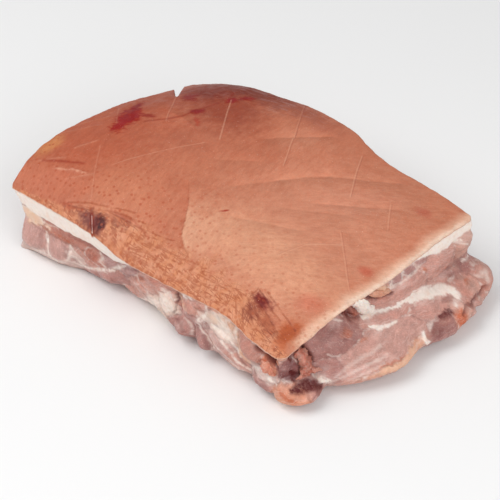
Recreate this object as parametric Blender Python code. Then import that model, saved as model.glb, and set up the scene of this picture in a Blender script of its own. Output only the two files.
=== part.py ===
"""Pork ribeye roast: a boneless, rind-on loin joint, modelled as one closed solid.

The joint lies on its lean side with the rind on top.  +X runs along the long side,
+Y across it and +Z up; the origin is under the middle of the piece, on the table.
The body is built like a box: a domed rind on top, a side wall that runs round the
whole rim, and a flat underside.  Muscles bulge out of the wall and seams cut into it.
"""
import math

import bmesh
import bpy
import numpy as np

MM = 0.001

# ---- driving dimensions, millimetres ---------------------------------------------

# Corners of the rind in plan, anticlockwise from the left front one.
RIND_CORNERS = ((-147, -104), (115, -96), (125, 92), (-143, 86))

# Height of the rind's edge above the table, along each side.
EDGE_HEIGHT = {
    "front": ((0, 56), (0.1, 57), (0.3, 58), (0.44, 50), (0.6, 52), (0.8, 56), (0.9, 48), (1, 44)),
    "right": ((0, 44), (0.1, 48), (0.35, 57), (0.5, 57), (0.7, 62), (0.85, 65), (1, 65)),
    "back": ((0, 65), (0.12, 70), (0.26, 72), (0.36, 76), (0.46, 80), (0.58, 79), (0.7, 75), (0.8, 72),
             (0.9, 65), (1, 54)),
    "left": ((0, 54), (0.05, 57), (0.15, 60), (0.45, 70), (0.7, 73), (0.88, 68), (0.95, 63), (1, 56)),
}
# How far each rind edge bows outward from the straight line between its corners.
EDGE_BOW = {
    "front": ((0, 0), (1, 0)),
    "right": ((0, 0), (0.5, 1), (1, 0)),
    "back": ((0, 0), (0.3, 0), (0.46, 7), (0.6, 9), (0.8, 6), (1, 0)),
    "left": ((0, 0), (0.2, 5), (0.5, 8), (0.8, 7), (1, 0)),
}
CROWN = 4.0          # extra dome in the middle of the rind
CROWN_SHAPE = 0.7    # under 1 spreads the dome towards the edges
SIDES = ("front", "right", "back", "left")

# The wall's reach past the rind's edge, at four levels down the wall.  The place along
# the rim is given in sides: 0 to 1 is the front, 1 to 2 the right, 2 to 3 the back.
FAT_LEVEL, WAIST_LEVEL, BELLY_LEVEL, FOOT_LEVEL = 0.2, 0.5, 0.8, 1.0
FAT_REACH = (
    (0, -3), (0.05, -2), (0.3, -2), (0.4, -4), (0.6, -2), (0.9, -2), (1, -4), (1.1, -3),
    (1.4, -1), (1.7, 2), (1.95, 1), (2, 2), (2.1, 0), (2.5, 0), (3, -1), (3.5, -1), (3.93, -5), (4, -3),
)
WAIST_REACH = (
    (0, -6), (0.06, -4), (0.2, -4), (0.38, -10), (0.5, -7), (0.6, -4), (1, -4), (1.1, 0),
    (1.25, 4), (1.45, 10), (1.7, 10), (1.84, 3), (1.93, -1), (2, 1), (2.2, 4), (2.6, 3), (3, 0),
    (3.5, 1), (3.93, -8), (4, -6),
)
BELLY_REACH = (
    (0, -4), (0.06, 0), (0.14, 0.5), (0.22, -7), (0.28, -8), (0.34, -11), (0.38, -15.5), (0.47, -12),
    (0.53, -13), (0.6, -5), (0.68, -9.5), (0.72, -5), (0.75, -7), (0.81, -5), (0.92, -5.5), (1, 0),
    (1.08, 10), (1.14, 9.5), (1.22, 18), (1.3, 24.5), (1.45, 31), (1.54, 28), (1.63, 31.5), (1.8, 33),
    (1.88, 29), (1.95, 21), (2.1, 8), (2.7, 3), (3, 0), (3.5, 2), (3.93, -8), (4, -4),
)
FOOT_REACH = (
    (0, 0), (0.06, -5), (0.15, -8), (0.22, -14), (0.28, -17), (0.38, -26), (0.47, -24), (0.58, -19),
    (0.68, -20), (0.8, -17.5), (0.92, -17), (1, -10), (1.08, -2), (1.15, -2), (1.3, 12.5), (1.45, 19),
    (1.54, 17), (1.63, 20), (1.8, 21.5), (1.95, 14), (2.1, -4), (2.7, -9), (3, -12), (3.5, -10),
    (3.93, -8), (4, 0),
)

# Muscles that bulge out of the wall: place along the rim, level down the wall, half
# length and half depth in millimetres, bulge, and slant in degrees (a positive slant
# rises towards the right of someone who faces the wall).
MUSCLES = (
    # front wall
    (0.05, 0.74, 16, 16, 2.0, 80), (0.17, 0.66, 13, 11, 2.5, 70), (0.29, 0.52, 14, 9, 2.5, -20),
    (0.37, 0.78, 22, 10, 3.0, -15), (0.49, 0.45, 18, 12, 2.5, -30), (0.55, 0.62, 11, 15, 3.0, 60),
    (0.645, 0.80, 11, 12, 5.0, 0), (0.72, 0.76, 8, 14, 4.5, 70), (0.69, 0.30, 13, 10, 2.5, 0),
    (0.80, 0.62, 14, 20, 4.0, 60), (0.89, 0.32, 11, 9, 4.0, 20), (0.93, 0.78, 12, 12, 4.5, -20),
    # front right corner and right wall
    (1.07, 0.80, 20, 14, 6.0, 0), (1.08, 0.38, 8, 10, 3.0, 80), (1.26, 0.34, 24, 12, 3.0, -12),
    (1.42, 0.72, 46, 12, 5.0, 6), (1.56, 0.46, 34, 8, 2.5, -6), (1.72, 0.22, 38, 8, 3.0, -4),
    (1.95, 0.24, 9, 10, 2.5, 80), (1.70, 0.86, 13, 8, 3.0, 0), (1.86, 0.66, 18, 13, 3.5, -20),
    (1.97, 0.72, 13, 13, 4.5, 0),
    # back wall and left wall
    (2.12, 0.60, 26, 15, 4.0, 10), (2.34, 0.52, 30, 13, 3.5, -8), (2.33, 0.84, 22, 10, 3.5, 0),
    (2.58, 0.62, 26, 17, 4.0, 12), (2.80, 0.48, 24, 12, 3.0, -10), (2.82, 0.82, 26, 11, 4.0, 0),
    (3.10, 0.62, 22, 15, 3.0, 20), (3.34, 0.72, 26, 13, 4.0, 0), (3.40, 0.40, 24, 9, 2.5, 0),
    (3.64, 0.62, 28, 16, 3.5, -12), (3.88, 0.70, 20, 14, 2.5, 10),
)
# Seams that cut into the wall: two ends, each a place along the rim and a level, then
# half width and depth in millimetres.
SEAMS = (
    (0.63, 0.04, 0.64, 0.36, 2.5, 4.0), (0.91, 0.12, 0.97, 0.22, 3.0, 5.0),
    (1.11, 0.10, 1.13, 0.42, 2.5, 5.0), (1.30, 0.06, 1.38, 0.18, 3.5, 4.5),
    (1.36, 0.26, 1.80, 0.50, 3.0, 2.0), (1.86, 0.72, 1.89, 0.88, 3.0, 4.0),
    (2.22, 0.30, 2.24, 0.90, 3.5, 3.0), (2.46, 0.36, 2.44, 0.92, 3.0, 3.0),
    (2.70, 0.30, 2.68, 0.90, 3.0, 3.0), (3.22, 0.40, 3.22, 0.92, 3.0, 3.0),
    (3.50, 0.30, 3.52, 0.92, 3.0, 3.0),
)
# The wall is plain at its very top and foot: bulges and seams come in below the first
# level and die out above the last.
RELIEF_TOP, RELIEF_FOOT, RELIEF_FADE = 0.08, 0.97, 0.1

# Slit cut through the rind at the left rim, beside the far left corner: a wedge that
# is centred on the rim, so half its length lies in the rind.
SLIT_PLACE = 0.105   # along the left side, from the far corner
SLIT_LENGTH, SLIT_WIDTH, SLIT_DEPTH = 60.0, 11.0, 14.0
SLIT_TURN = -47.0    # direction it runs in from the rim, degrees from +X

# Mesh fineness.
CELLS_LONG, CELLS_WIDE = 48, 34
WALL_LEVELS = (0, 0.045, 0.1, 0.16, 0.22, 0.29, 0.36, 0.43, 0.5, 0.57, 0.64, 0.71, 0.78, 0.84, 0.9, 0.95, 1)
CORNER_ROUND = 14.0  # length of rim over which the wall turns a corner, each way
ROUNDED_BY = 0.3     # level below which the wall's corners are fully rounded

CREASE_ANGLE = 50.0  # edges that turn by more than this many degrees stay sharp

RIND_COLOUR = (0.60, 0.27, 0.16, 1.0)
RIND_ROUGHNESS = 0.45


def smooth_curve(place, knots):
    """Values at the given places of a smooth curve through the knots, without overshoot."""
    x, y = np.array(knots, dtype=float).T
    step = np.diff(x)
    rise = np.diff(y) / step
    slope = np.concatenate(([rise[0]], np.zeros(len(x) - 2), [rise[-1]]))
    for i in range(1, len(x) - 1):
        if rise[i - 1] * rise[i] > 0:
            before, after = 2 * step[i] + step[i - 1], step[i] + 2 * step[i - 1]
            slope[i] = (before + after) / (before / rise[i - 1] + after / rise[i])
    place = np.clip(np.asarray(place, dtype=float), x[0], x[-1])
    i = np.clip(np.searchsorted(x, place, side="right") - 1, 0, len(step) - 1)
    s = (place - x[i]) / step[i]
    ends = y[i] * (1 + 2 * s) * (1 - s) ** 2 + y[i + 1] * s * s * (3 - 2 * s)
    return ends + step[i] * (slope[i] * s * (1 - s) ** 2 + slope[i + 1] * s * s * (s - 1))


def side_ends(side):
    """The two plan corners at the ends of a side."""
    i = SIDES.index(side)
    return np.array(RIND_CORNERS[i]), np.array(RIND_CORNERS[(i + 1) % 4])


def side_length(side):
    start, end = side_ends(side)
    return float(np.linalg.norm(end - start))


def rim_points(side, along):
    """Points of the rind's edge, for places from 0 to 1 along one side."""
    start, end = side_ends(side)
    along = np.asarray(along, dtype=float)
    outward = np.array((end[1] - start[1], start[0] - end[0])) / side_length(side)
    plan = start + np.outer(along, end - start) + np.outer(smooth_curve(along, EDGE_BOW[side]), outward)
    return np.column_stack((plan, smooth_curve(along, EDGE_HEIGHT[side])))


def rind_grid(cells_long, cells_wide):
    """Points of the domed rind, blended between its four edges: [across, along, xyz]."""
    u, v = np.linspace(0, 1, cells_long + 1), np.linspace(0, 1, cells_wide + 1)
    front, back = rim_points("front", u)[None, :], rim_points("back", 1 - u)[None, :]
    right, left = rim_points("right", v)[:, None], rim_points("left", 1 - v)[:, None]
    u, v = u[None, :, None], v[:, None, None]
    corners = ((1 - u) * (1 - v) * front[:, :1] + u * (1 - v) * front[:, -1:]
               + u * v * back[:, -1:] + (1 - u) * v * back[:, :1])
    grid = (1 - v) * front + v * back + (1 - u) * left + u * right - corners
    grid[:, :, 2] += CROWN * (16 * u * (1 - u) * v * (1 - v))[:, :, 0] ** CROWN_SHAPE
    return grid


def smooth_round(values, reach):
    """Values along the closed rim, each averaged with its neighbours up to reach stations away."""
    weights = [1 + math.cos(math.pi * k / (reach + 1)) for k in range(-reach, reach + 1)]
    total = sum(np.roll(values, k, 0) * weight for k, weight in zip(range(-reach, reach + 1), weights))
    return total / sum(weights)


def rim_ring(cells_long, cells_wide):
    """Rim stations all the way round: places (0 to 4), points, the plan of the rim with
    rounded corners, and level outward normals."""
    counts = (cells_long, cells_wide, cells_long, cells_wide)
    place = np.concatenate([i + np.arange(n) / n for i, n in enumerate(counts)])
    points = np.vstack([rim_points(side, np.arange(n) / n) for side, n in zip(SIDES, counts)])
    run = np.roll(points, -1, 0) - np.roll(points, 1, 0)
    normal = np.column_stack((run[:, 1], -run[:, 0]))
    normal /= np.linalg.norm(normal, axis=1)[:, None]
    spacing = sum(side_length(side) for side in SIDES) / len(place)
    reach = max(1, round(CORNER_ROUND / spacing))
    turned = smooth_round(normal, reach)
    return place, points, smooth_round(points[:, :2], reach), turned / np.linalg.norm(turned, axis=1)[:, None]


def rim_distance(place, centre):
    """Signed distance along the rim, in millimetres, from a centre to each place."""
    gap = (place - centre + 2) % 4 - 2
    return gap * side_length(SIDES[int(centre) % 4])


def muscle_bulge(place, level, height):
    """How far the muscles push the wall out, for every place and level."""
    bulge = np.zeros((len(place), len(level)))
    for at, depth, half_long, half_deep, push, slant in MUSCLES:
        along = rim_distance(place, at)[:, None]
        down = (level[None, :] - depth) * height[:, None]
        turn = math.radians(slant)
        long_way = along * math.cos(turn) - down * math.sin(turn)
        short_way = along * math.sin(turn) + down * math.cos(turn)
        inside = np.clip(1 - (long_way / half_long) ** 2 - (short_way / half_deep) ** 2, 0, None)
        dome = push * inside
        bulge = np.where(np.abs(dome) > np.abs(bulge), dome, bulge)
    return bulge


def seam_cut(place, level, height):
    """How deep the seams cut into the wall, for every place and level."""
    cut = np.zeros((len(place), len(level)))
    for at, depth, to, to_depth, half_width, deep in SEAMS:
        along = rim_distance(place, at)[:, None] + 0 * level[None, :]
        down = (level[None, :] - depth) * height[:, None]
        run = rim_distance(np.array([to]), at)[0]
        fall = (to_depth - depth) * height[:, None] + 0 * along
        share = np.clip((along * run + down * fall) / (run ** 2 + fall ** 2), 0, 1)
        gap = np.hypot(along - share * run, down - share * fall)
        cut = np.maximum(cut, deep * np.exp(-(gap / half_width) ** 2))
    return cut


def wall_grid(cells_long, cells_wide, level):
    """Points of the side wall, from the rind's edge down to the foot: [round, down, xyz]."""
    place, rim, rounded, outward = rim_ring(cells_long, cells_wide)
    level = np.array(level, dtype=float)
    levels = (0, FAT_LEVEL, WAIST_LEVEL, BELLY_LEVEL, FOOT_LEVEL)
    reaches = [smooth_curve(place, knots) for knots in (FAT_REACH, WAIST_REACH, BELLY_REACH, FOOT_REACH)]
    stations = np.column_stack([np.zeros(len(place))] + reaches)
    reach = np.array([smooth_curve(level, list(zip(levels, row))) for row in stations])
    height = rim[:, 2]
    fade = np.clip((RELIEF_FOOT - level) / RELIEF_FADE, 0, 1) * np.clip(level / RELIEF_TOP, 0, 1)
    reach += fade * (muscle_bulge(place, level, height) - seam_cut(place, level, height))
    round_share = np.clip(level / ROUNDED_BY, 0, 1)[None, :, None]
    plan = rim[:, None, :2] * (1 - round_share) + rounded[:, None] * round_share
    plan += reach[:, :, None] * outward[:, None, :]
    return np.dstack((plan, height[:, None] * (1 - level[None, :])))


def grid_rim_index(cells_long, cells_wide):
    """Row and column of each rim station in the rind grid, in the order of the ring."""
    front = [(0, i) for i in range(cells_long)]
    right = [(j, cells_long) for j in range(cells_wide)]
    back = [(cells_wide, i) for i in range(cells_long, 0, -1)]
    left = [(j, 0) for j in range(cells_wide, 0, -1)]
    return front + right + back + left


def build_roast():
    """The whole joint as one closed mesh object."""
    top = rind_grid(CELLS_LONG, CELLS_WIDE)
    wall = wall_grid(CELLS_LONG, CELLS_WIDE, WALL_LEVELS)
    bm = bmesh.new()
    grid = [[bm.verts.new(point * MM) for point in row] for row in top]
    for j in range(CELLS_WIDE):
        for i in range(CELLS_LONG):
            bm.faces.new((grid[j][i], grid[j][i + 1], grid[j + 1][i + 1], grid[j + 1][i]))
    rim = [grid[j][i] for j, i in grid_rim_index(CELLS_LONG, CELLS_WIDE)]
    rings = [rim] + [[bm.verts.new(point * MM) for point in wall[:, k]] for k in range(1, len(WALL_LEVELS))]
    count = len(rim)
    for upper, lower in zip(rings, rings[1:]):
        for n in range(count):
            m = (n + 1) % count
            bm.faces.new((upper[n], lower[n], lower[m], upper[m]))
    bm.faces.new(list(reversed(rings[-1])))
    mesh = bpy.data.meshes.new("roast")
    bm.to_mesh(mesh)
    bm.free()
    roast = bpy.data.objects.new("roast", mesh)
    bpy.context.collection.objects.link(roast)
    mesh.shade_smooth()
    mesh.set_sharp_from_angle(angle=math.radians(CREASE_ANGLE))
    return roast


def build_slit_cutter():
    """A wedge, widest outside the rim, that opens the slit in the rind."""
    mouth = rim_points("left", [SLIT_PLACE])[0]
    turn = math.radians(SLIT_TURN)
    inward = np.array((math.cos(turn), math.sin(turn), 0.0))
    across = np.array((-inward[1], inward[0], 0.0))
    outside = mouth - inward * SLIT_LENGTH / 2
    tip = mouth + inward * SLIT_LENGTH / 2
    half = across * SLIT_WIDTH / 2
    bm = bmesh.new()
    low = [bm.verts.new((p - (0, 0, SLIT_DEPTH)) * MM) for p in (outside - half, tip, outside + half)]
    bottom = bm.faces.new(low)
    risen = bmesh.ops.extrude_face_region(bm, geom=[bottom])
    lifted = [part for part in risen["geom"] if isinstance(part, bmesh.types.BMVert)]
    bmesh.ops.translate(bm, verts=lifted, vec=(0, 0, 4 * SLIT_DEPTH * MM))
    bmesh.ops.recalc_face_normals(bm, faces=bm.faces)
    mesh = bpy.data.meshes.new("slit_cutter")
    bm.to_mesh(mesh)
    bm.free()
    cutter = bpy.data.objects.new("slit_cutter", mesh)
    bpy.context.collection.objects.link(cutter)
    cutter.hide_render = True
    cutter.display_type = "WIRE"
    return cutter


def rind_material():
    """Salmon-tan rind colour on the whole joint, with a damp surface."""
    material = bpy.data.materials.new("rind")
    material.use_nodes = True
    shader = material.node_tree.nodes["Principled BSDF"]
    shader.inputs["Base Color"].default_value = RIND_COLOUR
    shader.inputs["Roughness"].default_value = RIND_ROUGHNESS
    shader.inputs["Metallic"].default_value = 0.0
    return material


def main():
    for old in list(bpy.data.objects):
        bpy.data.objects.remove(old, do_unlink=True)
    roast = build_roast()
    roast.data.materials.append(rind_material())
    slit = roast.modifiers.new("slit", "BOOLEAN")
    slit.operation = "DIFFERENCE"
    slit.object = build_slit_cutter()


main()
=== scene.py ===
"""Looks of the raw pork ribeye roast: rind, back fat and lean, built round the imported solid.

Lengths are millimetres until mesh_piece() places them in the frame.  The wall's features
are placed by side, distance along the side and level: the distance starts at the side's
first corner, going anticlockwise seen from above, and the level is 0 at the rind's edge
and 1 at the table.  The rind's fields of colour are placed by shares of its length and
width, and its lines in mm from its left front corner.
"""

import itertools
import math
from types import SimpleNamespace

import bpy
import numpy as np
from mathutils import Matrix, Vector


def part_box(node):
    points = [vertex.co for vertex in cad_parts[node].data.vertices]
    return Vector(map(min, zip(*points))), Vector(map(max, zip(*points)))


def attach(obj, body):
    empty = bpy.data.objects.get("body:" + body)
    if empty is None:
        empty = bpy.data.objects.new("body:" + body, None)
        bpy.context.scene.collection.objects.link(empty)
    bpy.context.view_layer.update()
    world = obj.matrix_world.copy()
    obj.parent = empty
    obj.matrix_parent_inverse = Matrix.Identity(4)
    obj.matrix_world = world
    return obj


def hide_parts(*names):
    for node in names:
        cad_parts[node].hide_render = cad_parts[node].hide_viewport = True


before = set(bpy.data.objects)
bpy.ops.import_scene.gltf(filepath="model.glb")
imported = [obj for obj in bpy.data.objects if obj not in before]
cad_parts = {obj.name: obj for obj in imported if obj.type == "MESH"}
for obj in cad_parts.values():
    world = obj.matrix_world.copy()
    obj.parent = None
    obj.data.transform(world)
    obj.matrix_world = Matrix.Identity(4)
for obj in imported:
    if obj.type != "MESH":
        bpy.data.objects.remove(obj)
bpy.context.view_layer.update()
NODE = "roast"
LOW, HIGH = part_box(NODE)

# ---- the joint's form, as the solid has it ---------------------------------------------

DESIGN_LENGTH = 314.4                    # the solid's length when its values were settled
MM = (HIGH.x - LOW.x) / DESIGN_LENGTH
DESIGN_MIDDLE = (0.13, -0.23)            # middle of the solid's box in plan
ORIGIN = np.array(((LOW.x + HIGH.x) / 2 - DESIGN_MIDDLE[0] * MM,
                   (LOW.y + HIGH.y) / 2 - DESIGN_MIDDLE[1] * MM, LOW.z))

SIDES = ("front", "right", "back", "left")
RIND_CORNERS = ((-147, -104), (115, -96), (125, 92), (-143, 86))
EDGE_HEIGHT = {
    "front": ((0, 56), (0.1, 57), (0.3, 58), (0.44, 50), (0.6, 52), (0.8, 56), (0.9, 48), (1, 44)),
    "right": ((0, 44), (0.1, 48), (0.35, 57), (0.5, 57), (0.7, 62), (0.85, 65), (1, 65)),
    "back": ((0, 65), (0.12, 70), (0.26, 72), (0.36, 76), (0.46, 80), (0.58, 79), (0.7, 75), (0.8, 72),
             (0.9, 65), (1, 54)),
    "left": ((0, 54), (0.05, 57), (0.15, 60), (0.45, 70), (0.7, 73), (0.88, 68), (0.95, 63), (1, 56)),
}
EDGE_BOW = {
    "front": ((0, 0), (1, 0)),
    "right": ((0, 0), (0.5, 1), (1, 0)),
    "back": ((0, 0), (0.3, 0), (0.46, 7), (0.6, 9), (0.8, 6), (1, 0)),
    "left": ((0, 0), (0.2, 5), (0.5, 8), (0.8, 7), (1, 0)),
}
CROWN, CROWN_SHAPE = 4.0, 0.7

# Reach of the wall past the rind's edge at these levels, by place along the rim in sides.
REACH_LEVELS = (0, 0.2, 0.5, 0.8, 1.0)
FAT_REACH = (
    (0, -3), (0.05, -2), (0.3, -2), (0.4, -4), (0.6, -2), (0.9, -2), (1, -4), (1.1, -3),
    (1.4, -1), (1.7, 2), (1.95, 1), (2, 2), (2.1, 0), (2.5, 0), (3, -1), (3.5, -1), (3.93, -5), (4, -3),
)
WAIST_REACH = (
    (0, -6), (0.06, -4), (0.2, -4), (0.38, -10), (0.5, -7), (0.6, -4), (1, -4), (1.1, 0),
    (1.25, 4), (1.45, 10), (1.7, 10), (1.84, 3), (1.93, -1), (2, 1), (2.2, 4), (2.6, 3), (3, 0),
    (3.5, 1), (3.93, -8), (4, -6),
)
BELLY_REACH = (
    (0, -4), (0.06, 0), (0.14, 0.5), (0.22, -7), (0.28, -8), (0.34, -11), (0.38, -15.5), (0.47, -12),
    (0.53, -13), (0.6, -5), (0.68, -9.5), (0.72, -5), (0.75, -7), (0.81, -5), (0.92, -5.5), (1, 0),
    (1.08, 10), (1.14, 9.5), (1.22, 18), (1.3, 24.5), (1.45, 31), (1.54, 28), (1.63, 31.5), (1.8, 33),
    (1.88, 29), (1.95, 21), (2.1, 8), (2.7, 3), (3, 0), (3.5, 2), (3.93, -8), (4, -4),
)
FOOT_REACH = (
    (0, 0), (0.06, -5), (0.15, -8), (0.22, -14), (0.28, -17), (0.38, -26), (0.47, -24), (0.58, -19),
    (0.68, -20), (0.8, -17.5), (0.92, -17), (1, -10), (1.08, -2), (1.15, -2), (1.3, 12.5), (1.45, 19),
    (1.54, 17), (1.63, 20), (1.8, 21.5), (1.95, 14), (2.1, -4), (2.7, -9), (3, -12), (3.5, -10),
    (3.93, -8), (4, 0),
)
# The solid's bulges: place along the rim in sides, level, half length, half depth, push and
# slant; its seams: two ends, then half width and depth.
BULGES = (
    (0.05, 0.74, 16, 16, 2, 80), (0.17, 0.66, 13, 11, 2.5, 70), (0.29, 0.52, 14, 9, 2.5, -20),
    (0.37, 0.78, 22, 10, 3, -15), (0.49, 0.45, 18, 12, 2.5, -30), (0.55, 0.62, 11, 15, 3, 60),
    (0.645, 0.8, 11, 12, 5, 0), (0.72, 0.76, 8, 14, 4.5, 70), (0.69, 0.3, 13, 10, 2.5, 0),
    (0.8, 0.62, 14, 20, 4, 60), (0.89, 0.32, 11, 9, 4, 20), (0.93, 0.78, 12, 12, 4.5, -20),
    (1.07, 0.8, 20, 14, 6, 0), (1.08, 0.38, 8, 10, 3, 80), (1.26, 0.34, 24, 12, 3, -12),
    (1.42, 0.72, 46, 12, 5, 6), (1.56, 0.46, 34, 8, 2.5, -6), (1.72, 0.22, 38, 8, 3, -4),
    (1.95, 0.24, 9, 10, 2.5, 80), (1.7, 0.86, 13, 8, 3, 0), (1.86, 0.66, 18, 13, 3.5, -20),
    (1.97, 0.72, 13, 13, 4.5, 0), (2.12, 0.6, 26, 15, 4, 10), (2.34, 0.52, 30, 13, 3.5, -8),
    (2.33, 0.84, 22, 10, 3.5, 0), (2.58, 0.62, 26, 17, 4, 12), (2.8, 0.48, 24, 12, 3, -10),
    (2.82, 0.82, 26, 11, 4, 0), (3.1, 0.62, 22, 15, 3, 20), (3.34, 0.72, 26, 13, 4, 0),
    (3.4, 0.4, 24, 9, 2.5, 0), (3.64, 0.62, 28, 16, 3.5, -12), (3.88, 0.7, 20, 14, 2.5, 10),
)
SEAMS = (
    (0.63, 0.04, 0.64, 0.36, 2.5, 4), (0.91, 0.12, 0.97, 0.22, 3, 5), (1.11, 0.1, 1.13, 0.42, 2.5, 5),
    (1.3, 0.06, 1.38, 0.18, 3.5, 4.5), (1.36, 0.26, 1.8, 0.5, 3, 2), (1.86, 0.72, 1.89, 0.88, 3, 4),
    (2.22, 0.3, 2.24, 0.9, 3.5, 3), (2.46, 0.36, 2.44, 0.92, 3, 3), (2.7, 0.3, 2.68, 0.9, 3, 3),
    (3.22, 0.4, 3.22, 0.92, 3, 3), (3.5, 0.3, 3.52, 0.92, 3, 3),
)
RELIEF_TOP, RELIEF_FOOT, RELIEF_FADE = 0.08, 0.97, 0.1
CORNER_ROUND, ROUNDED_BY = 14.0, 0.3
TIP_RADIUS = ((2.0, 7.0), (4.0, 3.5))      # rounding of the rind's corners: front two, back two

SLIT_PLACE = 0.105           # along the left side, from the far corner
SLIT_LENGTH, SLIT_WIDTH, SLIT_DEPTH = 60.0, 11.0, 14.0
SLIT_TURN = -47.0

# ---- mesh fineness ---------------------------------------------------------------------

RIND_CELLS = (336, 240)                                              # long way, short way
COARSE = 4                                                           # rind cells to an underside cell
CAP_CELLS = (60, 44)                                                 # cells of the meat's hidden top and foot
WALL_STEPS = {"front": 6, "right": 6, "back": 3, "left": 3}          # wall columns to a cap cell
WALL_ROWS = 84
LUMP_CELLS = (64, 32)                                                # cells round a lump, and over it
STRAND_CELLS = (20, 39)                                              # cells round a torn strand, and along it

RIND_SIDE = 1.7              # how far the rind's cut edge goes down
EDGE_ROLL = 0.5              # the rind's top edge rolls over by this radius
WALL_START = 1.3             # the meat's wall starts this far below the rim
# Rows of points down the rind's cut edge: share of the way down, how far out, how fatty.
CUT_EDGE = ((0.33, 0.15, 0.35), (0.7, 0.15, 0.75), (1.0, -0.35, 0.9))
EDGE_WAVER = 0.6             # the cut edge of the rind wavers by about this much
TUCK = 0.7                   # the meat's wall starts this far behind the face of the rind's cut edge
HIDDEN_DROP = 1.5            # hidden inner points lie this far under the outer ones
SLIT_CLEARANCE = 1.3         # and lower near the slit, by this times its depth
BORDER_BLEND = 1.3           # width over which one muscle's colour passes into the next
GRAIN_APART = 7.0            # the fibres of neighbouring muscles are taken from places this far apart

# ---- colours, as they are seen in white light, 0 to 255 -------------------------------------

LEAN = {
    "mauve": (197, 153, 144), "rosy": (199, 144, 130), "pale": (214, 182, 172), "russet": (184, 120, 104),
    "brown": (172, 104, 88), "plum": (176, 132, 126), "lobe": (178, 128, 120), "oval": (188, 134, 121),
    "knob": (214, 132, 104), "silver": (208, 180, 172), "dusk": (172, 124, 117), "pink": (202, 150, 138),
    "coral": (210, 164, 150), "soft": (198, 152, 141), "peel": (212, 156, 134), "dark": (136, 90, 88),
    "rim": (210, 142, 116), "orange": (200, 112, 84), "rust": (186, 100, 72), "cream": (226, 200, 186),
    "peach": (216, 168, 142),
}
FAT_WHITE, FAT_TAN = (244, 230, 220), (232, 188, 156)
RIM_TAN = (234, 184, 158)    # the rind's own cut edge
BLOOD, SHADE = (92, 24, 24), (112, 54, 48)
SHINE = 0.03                 # light that the wet surface adds to every colour
# The pale marbling colour also serves for the lean's painted glints.
SILVER_SKIN, MARBLING_AND_GLINT = (220, 196, 187), (238, 212, 202)
FAT_BLUSH = (222, 184, 160)

# ---- the wall's muscles ---------------------------------------------------------------------

def listed(**by_side):
    """The rows of a table that is grouped by side, each with its side put first."""
    return [(side, *row) for side, rows in by_side.items() for row in rows]


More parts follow.
